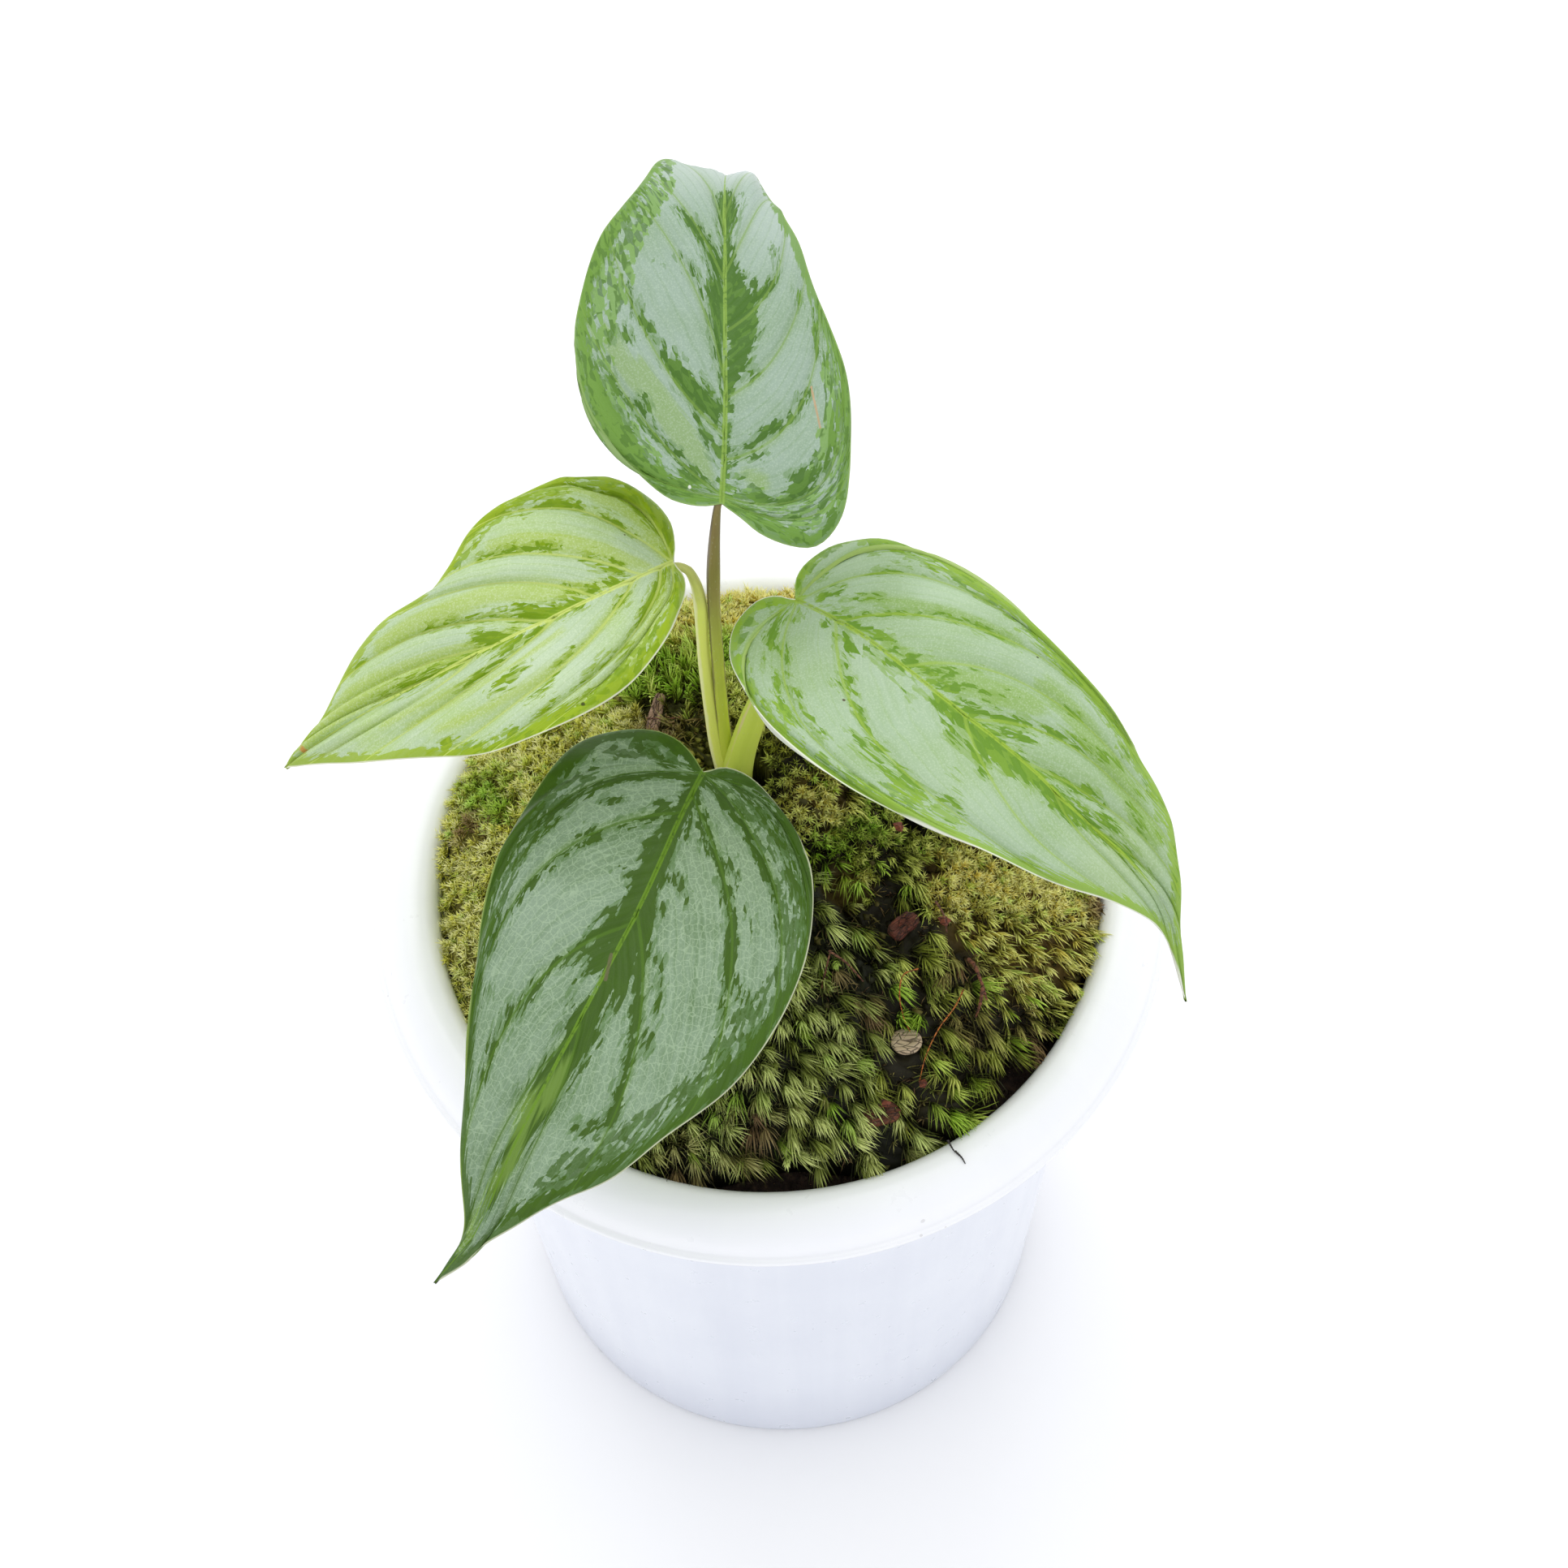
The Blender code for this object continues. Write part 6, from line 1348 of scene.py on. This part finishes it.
def leaf_marks():
    """Ragged zones with square-cut ends between the fine parallel veins, painted shade along fine furrows,
    and the blade's relief.
    """
    tree, recipe, given = new_group(
        "leaf_marks", ("Place", "Flow"),
        ("Dark", "Mottle", "Vein", "Rib", "Edge", "Clear", "Ragged", "Seed"),
        ("Clear", "Halo", "Left", "Dark", "Fade", "Half", "Mottle", "Deep", "Cloud", "Streak", "Furrow",
         "Grain", "Net", "Vein", "Rib", "Edge", "Band", "Relief"))
    place = given["Place"]
    side, along, _ = recipe.parts(given["Flow"])
    across = recipe.plus(side, recipe.scaled(recipe.noise(place, 170, 2), 0.12, given["Seed"]))

    def strip(wide, long):
        return recipe.vector(recipe.times(across, wide), recipe.times(along, long))

    def threads(dense):
        off_middle = recipe.math("SUBTRACT", recipe.math("FRACT", recipe.times(across, dense)), 0.5)
        return recipe.math("ABSOLUTE", off_middle)

    jag = recipe.parts(recipe.cells(strip(12, 0.6), 1)["Color"])
    chip = recipe.parts(recipe.cells(strip(25, 1.7), 1)["Color"])
    shift = recipe.times(recipe.math("SUBTRACT", jag[0], 0.5), given["Ragged"])
    nick = recipe.times(recipe.math("SUBTRACT", chip[0], 0.5), recipe.times(given["Ragged"], 0.4))
    zone = recipe.plus(recipe.plus(given["Dark"], shift), nick)
    half = recipe.plus(zone, recipe.times(jag[1], 1.1))
    blots = recipe.noise(place, 520, 2)
    patchy = recipe.math("MINIMUM", given["Mottle"], 0.12)
    pieces = recipe.plus(recipe.times(blots, 2.2), recipe.scaled(jag[2], 1.3, -1.75))
    deeper = recipe.plus(recipe.times(blots, 1.6), recipe.scaled(jag[1], 1.5, -2))
    near_edge = recipe.times(
        recipe.rise(given["Edge"], 6.5, 1.5), recipe.scaled(recipe.rise(pieces, -0.2, 0), 0.6, 0.35))
    streak = recipe.noise(strip(13, 0.05), 1, 4, 0.65)
    thinned = recipe.plus(recipe.math("MINIMUM", given["Clear"], 1), recipe.scaled(streak, 3, -1.5))
    mesh = recipe.cells(place, 750, "DISTANCE_TO_EDGE")["Distance"]
    hairs = recipe.times(recipe.rise(threads(14), 0.38, 0.5), 0.7)
    net = recipe.math("MAXIMUM", hairs, recipe.rise(mesh, 0.07, 0))
    speckle = recipe.rise(recipe.noise(place, 1300, 2), 0.2, 0.5)
    ragged_edge = recipe.scaled(recipe.plus(jag[2], blots), -0.9, given["Edge"])
    pits = recipe.times(recipe.noise(place, 2400, 2), 0.03)
    recipe.result(
        Left=recipe.rise(side, LEFT_FLOW - 2, LEFT_FLOW - 1),
        Dark=recipe.rise(zone, -0.08, 0.08),
        Half=recipe.times(recipe.rise(half, 0, 0.2), recipe.scaled(chip[1], 0.5, 0.35)),
        Mottle=recipe.rise(recipe.plus(patchy, pieces), -0.07, 0.07),
        Deep=recipe.rise(recipe.plus(patchy, deeper), -0.07, 0.07),
        Fade=recipe.math("MAXIMUM", near_edge, recipe.times(recipe.rise(pieces, 0.1, 0.3), 0.35)),
        Cloud=recipe.noise(place, 90, 4),
        Streak=recipe.rise(streak, 0.32, 0.68),
        Clear=recipe.rise(thinned, -0.6, 0.7),
        Halo=recipe.rise(given["Vein"], 3.4, 0.9),
        # Painted shade: dark lines along the fine parallel furrows.
        Furrow=recipe.rise(threads(5), 0.36, 0.5),
        Grain=recipe.rise(recipe.cells(place, 2900)["Distance"], 0.55, 0.15),
        Net=net,
        Vein=recipe.rise(given["Vein"], 0.8, 0.3),
        Rib=recipe.times(recipe.rise(given["Rib"], 0.75, 0.45), speckle),
        Edge=recipe.rise(given["Edge"], 0.24, 0.06),
        Band=recipe.rise(ragged_edge, 0.45, 0.15),
        Relief=recipe.scaled(net, -0.012, pits))
    return tree


def leaf_finish(name, number, leaf):
    """The blade's colours, laid on from the silver ground up to the veins, the margin and the scars."""
    material, recipe = new_finish(name + "_blade_skin", specular_ior_level=0.14)
    colours, place = leaf["colours"], recipe.place()
    marks = recipe.use(
        LEAF_MARKS, Place=place, Flow=recipe.read("flow", "Vector"), Dark=recipe.read("dark_zone"),
        Mottle=recipe.read("mottle_zone"), Vein=recipe.read("vein_gap"), Rib=recipe.read("rib_gap"),
        Edge=recipe.read("edge_gap"), Clear=recipe.read("clear_zone"), Ragged=LEAF_RAGGED, Seed=3.7 * number)

    def lay(skin, *layers):
        for mark, share, colour in layers:
            skin = recipe.mix(recipe.times(marks[mark], share), skin, colour)
        return skin

    tone = recipe.scaled(marks["Streak"], colours["streaks"], recipe.rise(marks["Cloud"], 0.2, 0.75))
    skin = recipe.mix(tone, colours["cloud"], colours["silver"])
    # Painted sheen and shade: soft round patches of lighter and darker colour over the blade's ground.
    for at, radius, share, colour in leaf["painted_sheen_and_shade"]:
        gap = recipe.measure("DISTANCE", place, tuple(v * MM for v in at))
        skin = recipe.mix(recipe.times(recipe.rise(gap, radius * MM, 0), share), skin, colour)
    deep = lay(
        recipe.mix(marks["Fade"], colours["dark"], colours["band"]),
        ("Clear", colours["clear_dark"], colours["clear"]))
    skin = lay(
        skin,
        # Painted shade along the fine furrows.
        ("Furrow", 0.22, colours["half"]),
        ("Clear", colours["clear_share"], colours["clear"]),
        ("Halo", colours["halo"], colours["clear"]),
        ("Net", colours["net"], colours["light"]),
        ("Grain", 0.25, colours["light"]),
        ("Mottle", 0.8, colours["mottle"]),
        ("Deep", 0.75, colours["dark"]),
        ("Band", 0.85, colours["band"]),
        ("Half", 1.0, colours["half"]),
        ("Dark", 1.0, deep),
        ("Streak", 0.035, colours["light"]),
        ("Vein", colours["vein_share"], colours["vein"]),
        ("Rib", 0.85, colours["rib"]),
        # The margin line: its own pale green, and a painted highlight in pale cream along the lower margins
        # of the left, right and front blades.
        ("Edge", 0.9, recipe.mix(marks["Left"], colours["edge_right"], colours["edge_left"])))
    for start, end, size, colour in leaf["spots"]:
        run = np.subtract(end, start)
        off = recipe.node("VectorMath", place, tuple(v * MM for v in start), operation="SUBTRACT").outputs[0]
        ahead = recipe.measure("DOT_PRODUCT", off, tuple(run / MM / max(1e-6, run @ run)))
        ahead = recipe.math("MINIMUM", recipe.math("MAXIMUM", ahead, 0), 1)
        along = recipe.vector(*(recipe.times(ahead, float(v) * MM) for v in run))
        gap = recipe.measure("DISTANCE", off, along)
        gap = recipe.scaled(recipe.noise(place, 1500, 2), size * MM * 0.8, gap)
        near = recipe.rise(gap, size * MM * 1.5, size * MM * 1.1)
        skin = recipe.mix(recipe.times(near, 0.85), skin, colour)
    recipe.dress(
        base_color=recipe.mix(recipe.read("under"), skin, colours["under"]),
        roughness=recipe.scaled(marks["Cloud"], 0.14, 0.38), normal=recipe.bump(marks["Relief"], 0.8))
    return material


def margin_ripple(leaf, outline, edge_along, at):
    """The wave of the margin where each row ends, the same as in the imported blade."""
    tall, waves, phase = leaf["wave"]
    length = outline[-1, 1]
    turn = max(np.nonzero(outline[:, 1] <= BASAL_SPAN * length)[0])
    y = np.interp(at, edge_along, outline[:, 1])
    lobe = BASAL_ROWS * at / edge_along[turn]
    past = BASAL_ROWS + (MARGIN_ROWS - BASAL_ROWS) * (y / length - BASAL_SPAN) / (1 - BASAL_SPAN)
    row = np.where(at <= edge_along[turn], lobe, past)
    return tall * np.sin(math.tau * waves * row / MARGIN_ROWS + phase)


def half_blade(leaf, blade, side):
    """One side of the blade row by row: flat places, lifts, how far veins and margin are, and the flow."""
    edge_along, outline = smooth_curve([(x, y, 0) for x, y in leaf[side]], OUTLINE_STEPS)
    veins = [(0, 0, 0, 0), *leaf[side + "_veins"], (blade.length, 0, blade.length, 1)]
    margin = np.diff([vein[3] for vein in veins]) * edge_along[-1]
    counts = np.maximum(LEAST_ROWS, np.round(margin / ROW_STEP)).astype(int)
    at = [index + np.arange(count) / count for index, count in enumerate(counts)]
    at = np.concatenate([*at, [len(veins) - 1]])
    rows = len(at) - 1
    start, bend_x, bend_y, ends = between(veins, at).T
    far = np.clip(ends, 0, 1) * edge_along[-1]
    end_x, end_y = np.interp(far, edge_along, outline[:, 0]), np.interp(far, edge_along, outline[:, 1])
    t = np.linspace(0, 1, LEAF_COLUMNS + 1)
    t = t - COLUMNS_CROWDED * np.sin(math.tau * t) / math.tau
    x = 2 * t * (1 - t) * bend_x[:, None] + t**2 * end_x[:, None]
    y = (1 - t) ** 2 * start[:, None] + 2 * t * (1 - t) * bend_y[:, None] + t**2 * end_y[:, None]
    places = np.stack([x, y], -1).reshape(-1, 2)
    lines = [np.stack([x[row], y[row]], 1) for row in np.cumsum(counts)[:-1]]
    gaps, thick = [], []
    every = np.arange(len(places))
    for line in lines:
        gap, half_width = far_from(places, np.column_stack([line, VEIN_HALF - VEIN_THINNING * t]))
        gaps.append(gap.min(1))
        thick.append(half_width[every, gap.argmin(1), 0])
    gaps, thick = np.array(gaps), np.array(thick)
    closest = gaps.argmin(0), every
    vein_gap, half = gaps[closest], thick[closest]
    share = np.tile(t, rows + 1)
    row = np.repeat(at, LEAF_COLUMNS + 1)
    from_stalk = np.linalg.norm(places, axis=1)
    quilt = leaf["quilt"] * np.abs(np.sin(np.pi * row)) ** 0.8 * 4 * share * (1 - share) ** 0.8
    quilt = quilt * np.minimum(1, from_stalk / QUILT_FULL)
    flutes = FLUTE_DEEP * np.cos(math.tau * FLUTES * row) * np.minimum(1, 5 * share * (1 - share))
    groove = VEIN_GROOVE * np.exp(-((vein_gap / GROOVE_WIDE) ** 2)) * (1 - share)
    ripple = np.repeat(margin_ripple(leaf, outline, edge_along, far), LEAF_COLUMNS + 1) * share**2
    tall, from_y, from_x = leaf.get("swell_" + side, (0, 0, 1))
    over = np.clip((places[:, 1] - from_y) / 10, 0, 1)
    off = np.abs(places[:, 0]) / from_x
    bulge = 0.15 * np.exp(-((off - 0.8) / 0.4) ** 2)
    ripple = ripple + tall * over * (bulge - np.maximum(0, off - 1))
    edge_gap = far_from(places, outline[::4, :2])[0].min(1)
    out = np.hypot(np.diff(x, axis=1), np.diff(y, axis=1)).cumsum(1)
    out = np.column_stack([np.zeros(rows + 1), out]).ravel()
    flow = np.stack([row + (LEFT_FLOW if side == "left" else 0), out, np.zeros(len(places))], 1)
    lift = (ripple + quilt + flutes - groove) * np.clip(from_stalk / RELIEF_FULL, 0, 1)
    return places, lift, vein_gap / half, edge_gap, flow


def leaf_normals(points, faces):
    flats = np.cross(points[faces[:, 1]] - points[faces[:, 0]], points[faces[:, 2]] - points[faces[:, 0]])
    normals = np.zeros_like(points)
    for corner in range(3):
        for axis in range(3):
            normals[:, axis] += np.bincount(faces[:, corner], flats[:, axis], len(points))
    return one_long(normals)


def make_leaf(name, number, leaf):
    blade = Blade(leaf)
    wide = LEAF_COLUMNS + 1
    halves = [half_blade(leaf, blade, side) for side in ("left", "right")]
    left, right = (as_triangles(ring_faces(len(half[0]) // wide, wide, closed=False)) for half in halves)
    faces = np.vstack([left[:, ::-1], right + len(halves[0][0])])
    places, lift, vein_gap, edge_gap, flow = (np.concatenate(pair) for pair in zip(*halves))
    rib = np.hypot(places[:, 0], np.minimum(places[:, 1], 0))
    wide_here = np.interp(places[:, 1] / blade.length, (0, 0.6, 1), MIDRIB_WIDE)
    lift = lift + MIDRIB_RAISED * np.exp(-((rib / wide_here) ** 2))
    lift = lift - MIDRIB_TROUGH * np.exp(-(((rib - TROUGH_OUT) / TROUGH_WIDE) ** 2))
    surface = blade.place(places[:, 0], places[:, 1], lift)
    _, first, same = np.unique(np.round(surface, 4), axis=0, return_index=True, return_inverse=True)
    same = same.ravel()
    faces = same[faces]
    faces = faces[(faces[:, 0] != faces[:, 1]) & (faces[:, 1] != faces[:, 2]) & (faces[:, 0] != faces[:, 2])]
    surface, places, vein_gap, edge_gap, flow, rib, wide_here = (
        values[first] for values in (surface, places, vein_gap, edge_gap, flow, rib, wide_here))
    normals = leaf_normals(surface, faces)
    count = len(surface)
    thin_at_edge = LEAF_HALF_THICK * np.clip(0.35 + edge_gap / 1.2, 0, 1)
    keel = MIDRIB_KEEL * np.exp(-((rib / KEEL_WIDE) ** 2))
    keel *= np.clip(1.1 - places[:, 1] / blade.length, 0.25, 1)
    keel += VEIN_KEEL * np.exp(-(vein_gap**2) / 2)
    keel *= np.clip(edge_gap / 1.5, 0, 1)
    top = surface + normals * thin_at_edge[:, None]
    bottom = surface - normals * (thin_at_edge + keel)[:, None]
    used = np.vstack([faces[:, [0, 1]], faces[:, [1, 2]], faces[:, [2, 0]]])
    key, back = used[:, 0] * count + used[:, 1], used[:, 1] * count + used[:, 0]
    rim = used[~np.isin(key, back)]
    walls = np.stack([rim[:, 1], rim[:, 0], rim[:, 0] + count, rim[:, 1] + count], 1)
    everything = np.vstack([faces, faces[:, ::-1] + count, as_triangles(walls)])
    piece = new_piece(
        name + "_blade", np.vstack([top, bottom]) * MM, everything, leaf_finish(name, number, leaf))
    marks = {what + "_zone": depth_in(places, leaf[what]) for what in ("dark", "mottle", "clear")}
    marks.update(vein_gap=vein_gap, rib_gap=rib / wide_here, edge_gap=edge_gap, flow=flow)
    both_faces = {key: np.concatenate([mark, mark]) for key, mark in marks.items()}
    give(piece, under=np.repeat([0, 1], count), **both_faces)
    settle(piece, name)


LEAF_MARKS = leaf_marks()
for number, (name, leaf) in enumerate(LEAVES.items()):
    make_leaf(name, number, leaf)

# The loose bits. Two chips and a strip of dry reddish bark and a thin tan disc, broken off and
# fallen on the moss, where they lie free.

# name: node it stands for, turn in degrees, size along and across, thickness, colours, slot
LOOSE_BITS = {
    "chip_of_bark_back": (
        "bark_chip_back", 40, (6.0, 3.6), 1.5, ((0.035, 0.01, 0.006), (0.21, 0.048, 0.024)), "bark"),
    "chip_of_bark_front": (
        "bark_chip_front", 10, (6.5, 4.0), 1.6, ((0.03, 0.01, 0.005), (0.19, 0.055, 0.02)), "bark"),
    "strip_of_bark": (
        "bark_strip", 75, (9.0, 2.6), 1.2, ((0.16, 0.09, 0.06), (0.48, 0.3, 0.2)), "bark"),
    "tan_disc": (
        "seed_disc", 0, (5.0, 4.6), 0.9, ((0.5, 0.36, 0.22), (0.66, 0.52, 0.36)), "seed_disc"),
}
BIT_SIDES = 40
# The share of the bit's reach and of its thickness at each ring, from its underside to its middle.
BIT_RINGS = (
    (0.8, 0.0), (0.95, 0.12), (1.0, 0.4), (0.98, 0.7), (0.9, 0.93), (0.7, 1.0), (0.45, 1.02), (0.2, 1.0))


def bark_grain():
    tree, recipe, given = new_group("bark_grain", ("Place",), ("Turn",), ("Grain", "Cracks", "Relief"))
    along_bit = {"Angle": given["Turn"]}
    turned = recipe.node("VectorRotate", given["Place"], rotation_type="Z_AXIS", inputs=along_bit).outputs[0]
    grain = recipe.noise(recipe.stretched(turned, 1, 5, 3), 380, 4, 0.6)
    gap = recipe.cells(recipe.stretched(turned, 1, 3, 1), 520, "DISTANCE_TO_EDGE")["Distance"]
    cracks = recipe.rise(gap, 0.08, 0)
    relief = recipe.math("SUBTRACT", recipe.times(grain, 0.5), recipe.times(cracks, 0.3))
    recipe.result(Grain=grain, Cracks=cracks, Relief=relief)
    return tree


def bark_finish(name, turn, dark, light):
    material, recipe = new_finish(name + "_dry")
    bark = recipe.use(BARK_GRAIN, Place=recipe.place(), Turn=-math.radians(turn))
    colour = recipe.ramp(bark["Grain"], (0.3, dark), (0.7, light))
    recipe.dress(
        base_color=recipe.mix(recipe.times(bark["Cracks"], 0.7), colour, (0.03, 0.015, 0.01)),
        roughness=recipe.scaled(bark["Grain"], 0.3, 0.55), normal=recipe.bump(bark["Relief"], 0.9))
    return material


def make_bit(name, node, turn, size, thick, colours, slot, chance):
    """A chip with a broken outline and worn edges, or a thin round disc with a low middle."""
    low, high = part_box(node)
    middle = np.array((low + high) / 2) / MM
    is_round = slot == "seed_disc"
    angle = all_round(BIT_SIDES)
    reach_out, uneven_share, fit, middle_height = np.ones(BIT_SIDES), 0.04, 0.97, 0.7
    if not is_round:
        broken = chance.uniform(0.8, 1.04, 11)
        reach_out = np.interp(angle, np.linspace(0, math.tau, 12), [*broken, broken[0]])
        reach_out = reach_out * (np.abs(np.cos(angle)) ** 4 + np.abs(np.sin(angle)) ** 4) ** -0.25
        uneven_share, fit, middle_height = 0.22, 0.9, 1.0
    reach_x, reach_y = (
        fit * length / 2 * reach_out * way for length, way in zip(size, (np.cos(angle), np.sin(angle))))
    rows = []
    for share, rise in BIT_RINGS:
        uneven = (uneven_share if rise >= 0.5 else 0) * chance.uniform(-1, 0.4, BIT_SIDES)
        dip = -0.25 if is_round and share < 0.3 else 0
        rows.append(np.stack([reach_x * share, reach_y * share, thick * (rise + uneven + dip)], 1))
    points = np.vstack([*rows, [(0, 0, 0), (0, 0, thick * middle_height)]])
    spin = math.radians(turn)
    x, y, z = points.T
    placed = np.stack([
        x * math.cos(spin) - y * math.sin(spin) + middle[0],
        x * math.sin(spin) + y * math.cos(spin) + middle[1],
        z + low[2] / MM], 1)
    bit = new_piece(name, placed * MM, capped_faces(len(rows), BIT_SIDES), bark_finish(name, turn, *colours))
    settle(bit, node)


BARK_GRAIN = bark_grain()
bit_chance = np.random.default_rng(9)
for name, (node, *rest) in LOOSE_BITS.items():
    make_bit(name, node, *rest, bit_chance)

# Things caught in the moss, too fine for solids of their own: orange stalks of the moss's spore
# cases, a broken brown twig, dry needles, crumbs of red bark, and a dark fibre on the pot's rim.

# name: places along each thread, its radius at both ends, colours
THREADS = {
    "spore_stalks": (
        (((22, -22, 134.5), (19.6, -23.4, 135.3), (18.9, -26.4, 134.2), (19.4, -29, 132),
          (20.2, -30.6, 130.7)),
         ((28.8, -24.2, 131), (27.2, -27.5, 131.8), (24.4, -31, 131.3), (22.3, -34.5, 129.4),
          (21.2, -37.4, 127))),
        (0.12, 0.08), ((0.36, 0.08, 0.012), (0.62, 0.2, 0.03))),
    "brown_twig": (
        (((29.8, -19.6, 132), (30.7, -21.2, 132.8), (31.6, -24.2, 132.4), (32.2, -26.2, 131)),
         ((31.7, -24.6, 132.4), (31.2, -26.6, 131), (30.4, -28, 129))),
        (0.34, 0.18), ((0.1, 0.03, 0.015), (0.28, 0.1, 0.045))),
    "dry_needles": (
        (((7.2, -23.4, 132.4), (8.4, -20, 135), (8.9, -18.6, 135.6)),
         ((8.6, -18.8, 135.9), (11.2, -20.4, 134.6), (13.6, -22.6, 132.4)),
         ((-11, 23.8, 135.6), (-14.2, 23.2, 136.6), (-17.6, 23.9, 135.8)),
         ((25.4, -11, 135.2), (26.4, -13.4, 135.4), (26.8, -16, 134.2))),
        (0.2, 0.12), ((0.1, 0.035, 0.02), (0.28, 0.12, 0.06))),
    "rim_fibre": (
        (((24.9, -46.4, 124.9), (25.7, -48.2, 125), (26.2, -48.6, 124.95)),
         ((25.9, -48.3, 124.95), (26.8, -49.4, 124.95), (27.3, -50.4, 124.8))),
        (0.18, 0.08), ((0.02, 0.02, 0.022), (0.08, 0.07, 0.06))),
}
# place and size of each crumb of red bark
RED_CRUMBS = (
    (21.7, -38.1, 127.6, 1), (20.6, 1.2, 137, 1.1), (27, 3, 135, 0.9), (26.4, -14.2, 134.6, 1),
    (16, -40.8, 127.4, 0.9),
)
THREAD_RINGS, THREAD_SIDES = 24, 8


def leave_loose(piece):
    """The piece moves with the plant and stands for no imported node."""
    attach(piece, "root")


def make_threads():
    for name, (lines, ends, colours) in THREADS.items():
        radii = np.linspace(*ends, THREAD_RINGS) * (1 + 0.15 * np.sin(np.arange(THREAD_RINGS) * 1.7))
        shapes = [tube_shape(smooth_curve(line, THREAD_RINGS)[1], radii, THREAD_SIDES) for line in lines]
        leave_loose(new_piece(name, *together(shapes), bark_finish(name, 0, *colours)))


def make_red_crumbs():
    chance = np.random.default_rng(12)
    crumbs = np.array(RED_CRUMBS)
    points, faces = crumb_shapes(crumbs[:, :3], crumbs[:, 3], chance)
    finish = bark_finish("red_crumbs", 0, (0.08, 0.02, 0.01), (0.32, 0.075, 0.035))
    leave_loose(new_piece("red_crumbs", points * MM, faces, finish, smooth=False))


make_threads()
make_red_crumbs()

# The view and the light. The camera stands where the photo was taken, high in front of the pot,
# over a white table in soft daylight that comes mostly from above and a little from the left.
CAMERA_AT = (0.0, -0.32889, 0.73998)
CAMERA_DOWN = 63.51
CAMERA_ROLL, CAMERA_YAW, CAMERA_PITCH = -3.17, 0.27, 2.85
CAMERA_SENSOR = 36
# The lens is 5500 of the photo's pixels long, and the photo is 1932 of them wide.
CAMERA_LENS = 5500 / 1932 * CAMERA_SENSOR
TABLE_HALF, TABLE_TOP = 4.0, -0.0002
SKY_STRENGTH = 1.24


def make_camera():
    down, roll, yaw, pitch = (math.radians(a) for a in (CAMERA_DOWN, CAMERA_ROLL, CAMERA_YAW, CAMERA_PITCH))
    ahead = np.array((0, math.cos(down), -math.sin(down)))
    right = np.array((1.0, 0, 0))
    up = np.cross(right, ahead)
    ahead = ahead * math.cos(pitch) + up * math.sin(pitch)
    up = np.cross(right, ahead)
    side = right * math.cos(yaw) - ahead * math.sin(yaw)
    ahead = ahead * math.cos(yaw) + right * math.sin(yaw)
    right = side * math.cos(roll) + up * math.sin(roll)
    up = -side * math.sin(roll) + up * math.cos(roll)
    lens = bpy.data.cameras.new("photo_camera")
    lens.lens, lens.sensor_width, lens.clip_start = CAMERA_LENS, CAMERA_SENSOR, 0.01
    camera = bpy.data.objects.new("photo_camera", lens)
    bpy.context.scene.collection.objects.link(camera)
    camera.matrix_world = Matrix((*np.stack([right, up, -ahead, CAMERA_AT], 1).tolist(), (0, 0, 0, 1)))
    bpy.context.scene.camera = camera


def make_light(name, place, size, power, colour):
    """A large soft lamp that faces the middle of the plant."""
    lamp = bpy.data.lights.new(name, "AREA")
    lamp.size, lamp.energy, lamp.color = size, power, colour
    light = bpy.data.objects.new(name, lamp)
    bpy.context.scene.collection.objects.link(light)
    light.location = place
    light.rotation_euler = (Vector((0, 0, 0.12)) - light.location).to_track_quat("-Z", "Y").to_euler()


def make_table():
    material, recipe = new_finish("white_table", roughness=0.8)
    cloud = recipe.noise(recipe.place(), 6, 2)
    recipe.dress(base_color=recipe.ramp(cloud, (0.3, (0.93, 0.93, 0.94)), (0.7, (0.95, 0.95, 0.95))))
    corners = [(x * TABLE_HALF, y * TABLE_HALF, TABLE_TOP) for x, y in ((-1, -1), (1, -1), (1, 1), (-1, 1))]
    table = new_piece("table_top", corners, [(0, 1, 2, 3)], material)


def make_daylight():
    scene = bpy.context.scene
    scene.world = bpy.data.worlds.new("daylight")
    scene.world.use_nodes = True
    recipe = Recipe(scene.world.node_tree)
    sky = scene.world.node_tree.nodes["Background"]
    _, back, climb = recipe.parts(recipe.node("TexCoord").outputs["Generated"])
    bright = recipe.scaled(back, 0.35, climb)
    recipe.feed(sky.inputs["Color"], recipe.ramp(bright, (0, (0.68, 0.695, 0.74)), (1, (1, 1, 1))))
    sky.inputs["Strength"].default_value = SKY_STRENGTH
    make_light("window_light", (-0.1, 0.8, 1.1), 1.1, 3.6, (1.0, 0.99, 0.97))
    scene.view_settings.view_transform = "Standard"


make_camera()
make_table()
make_daylight()
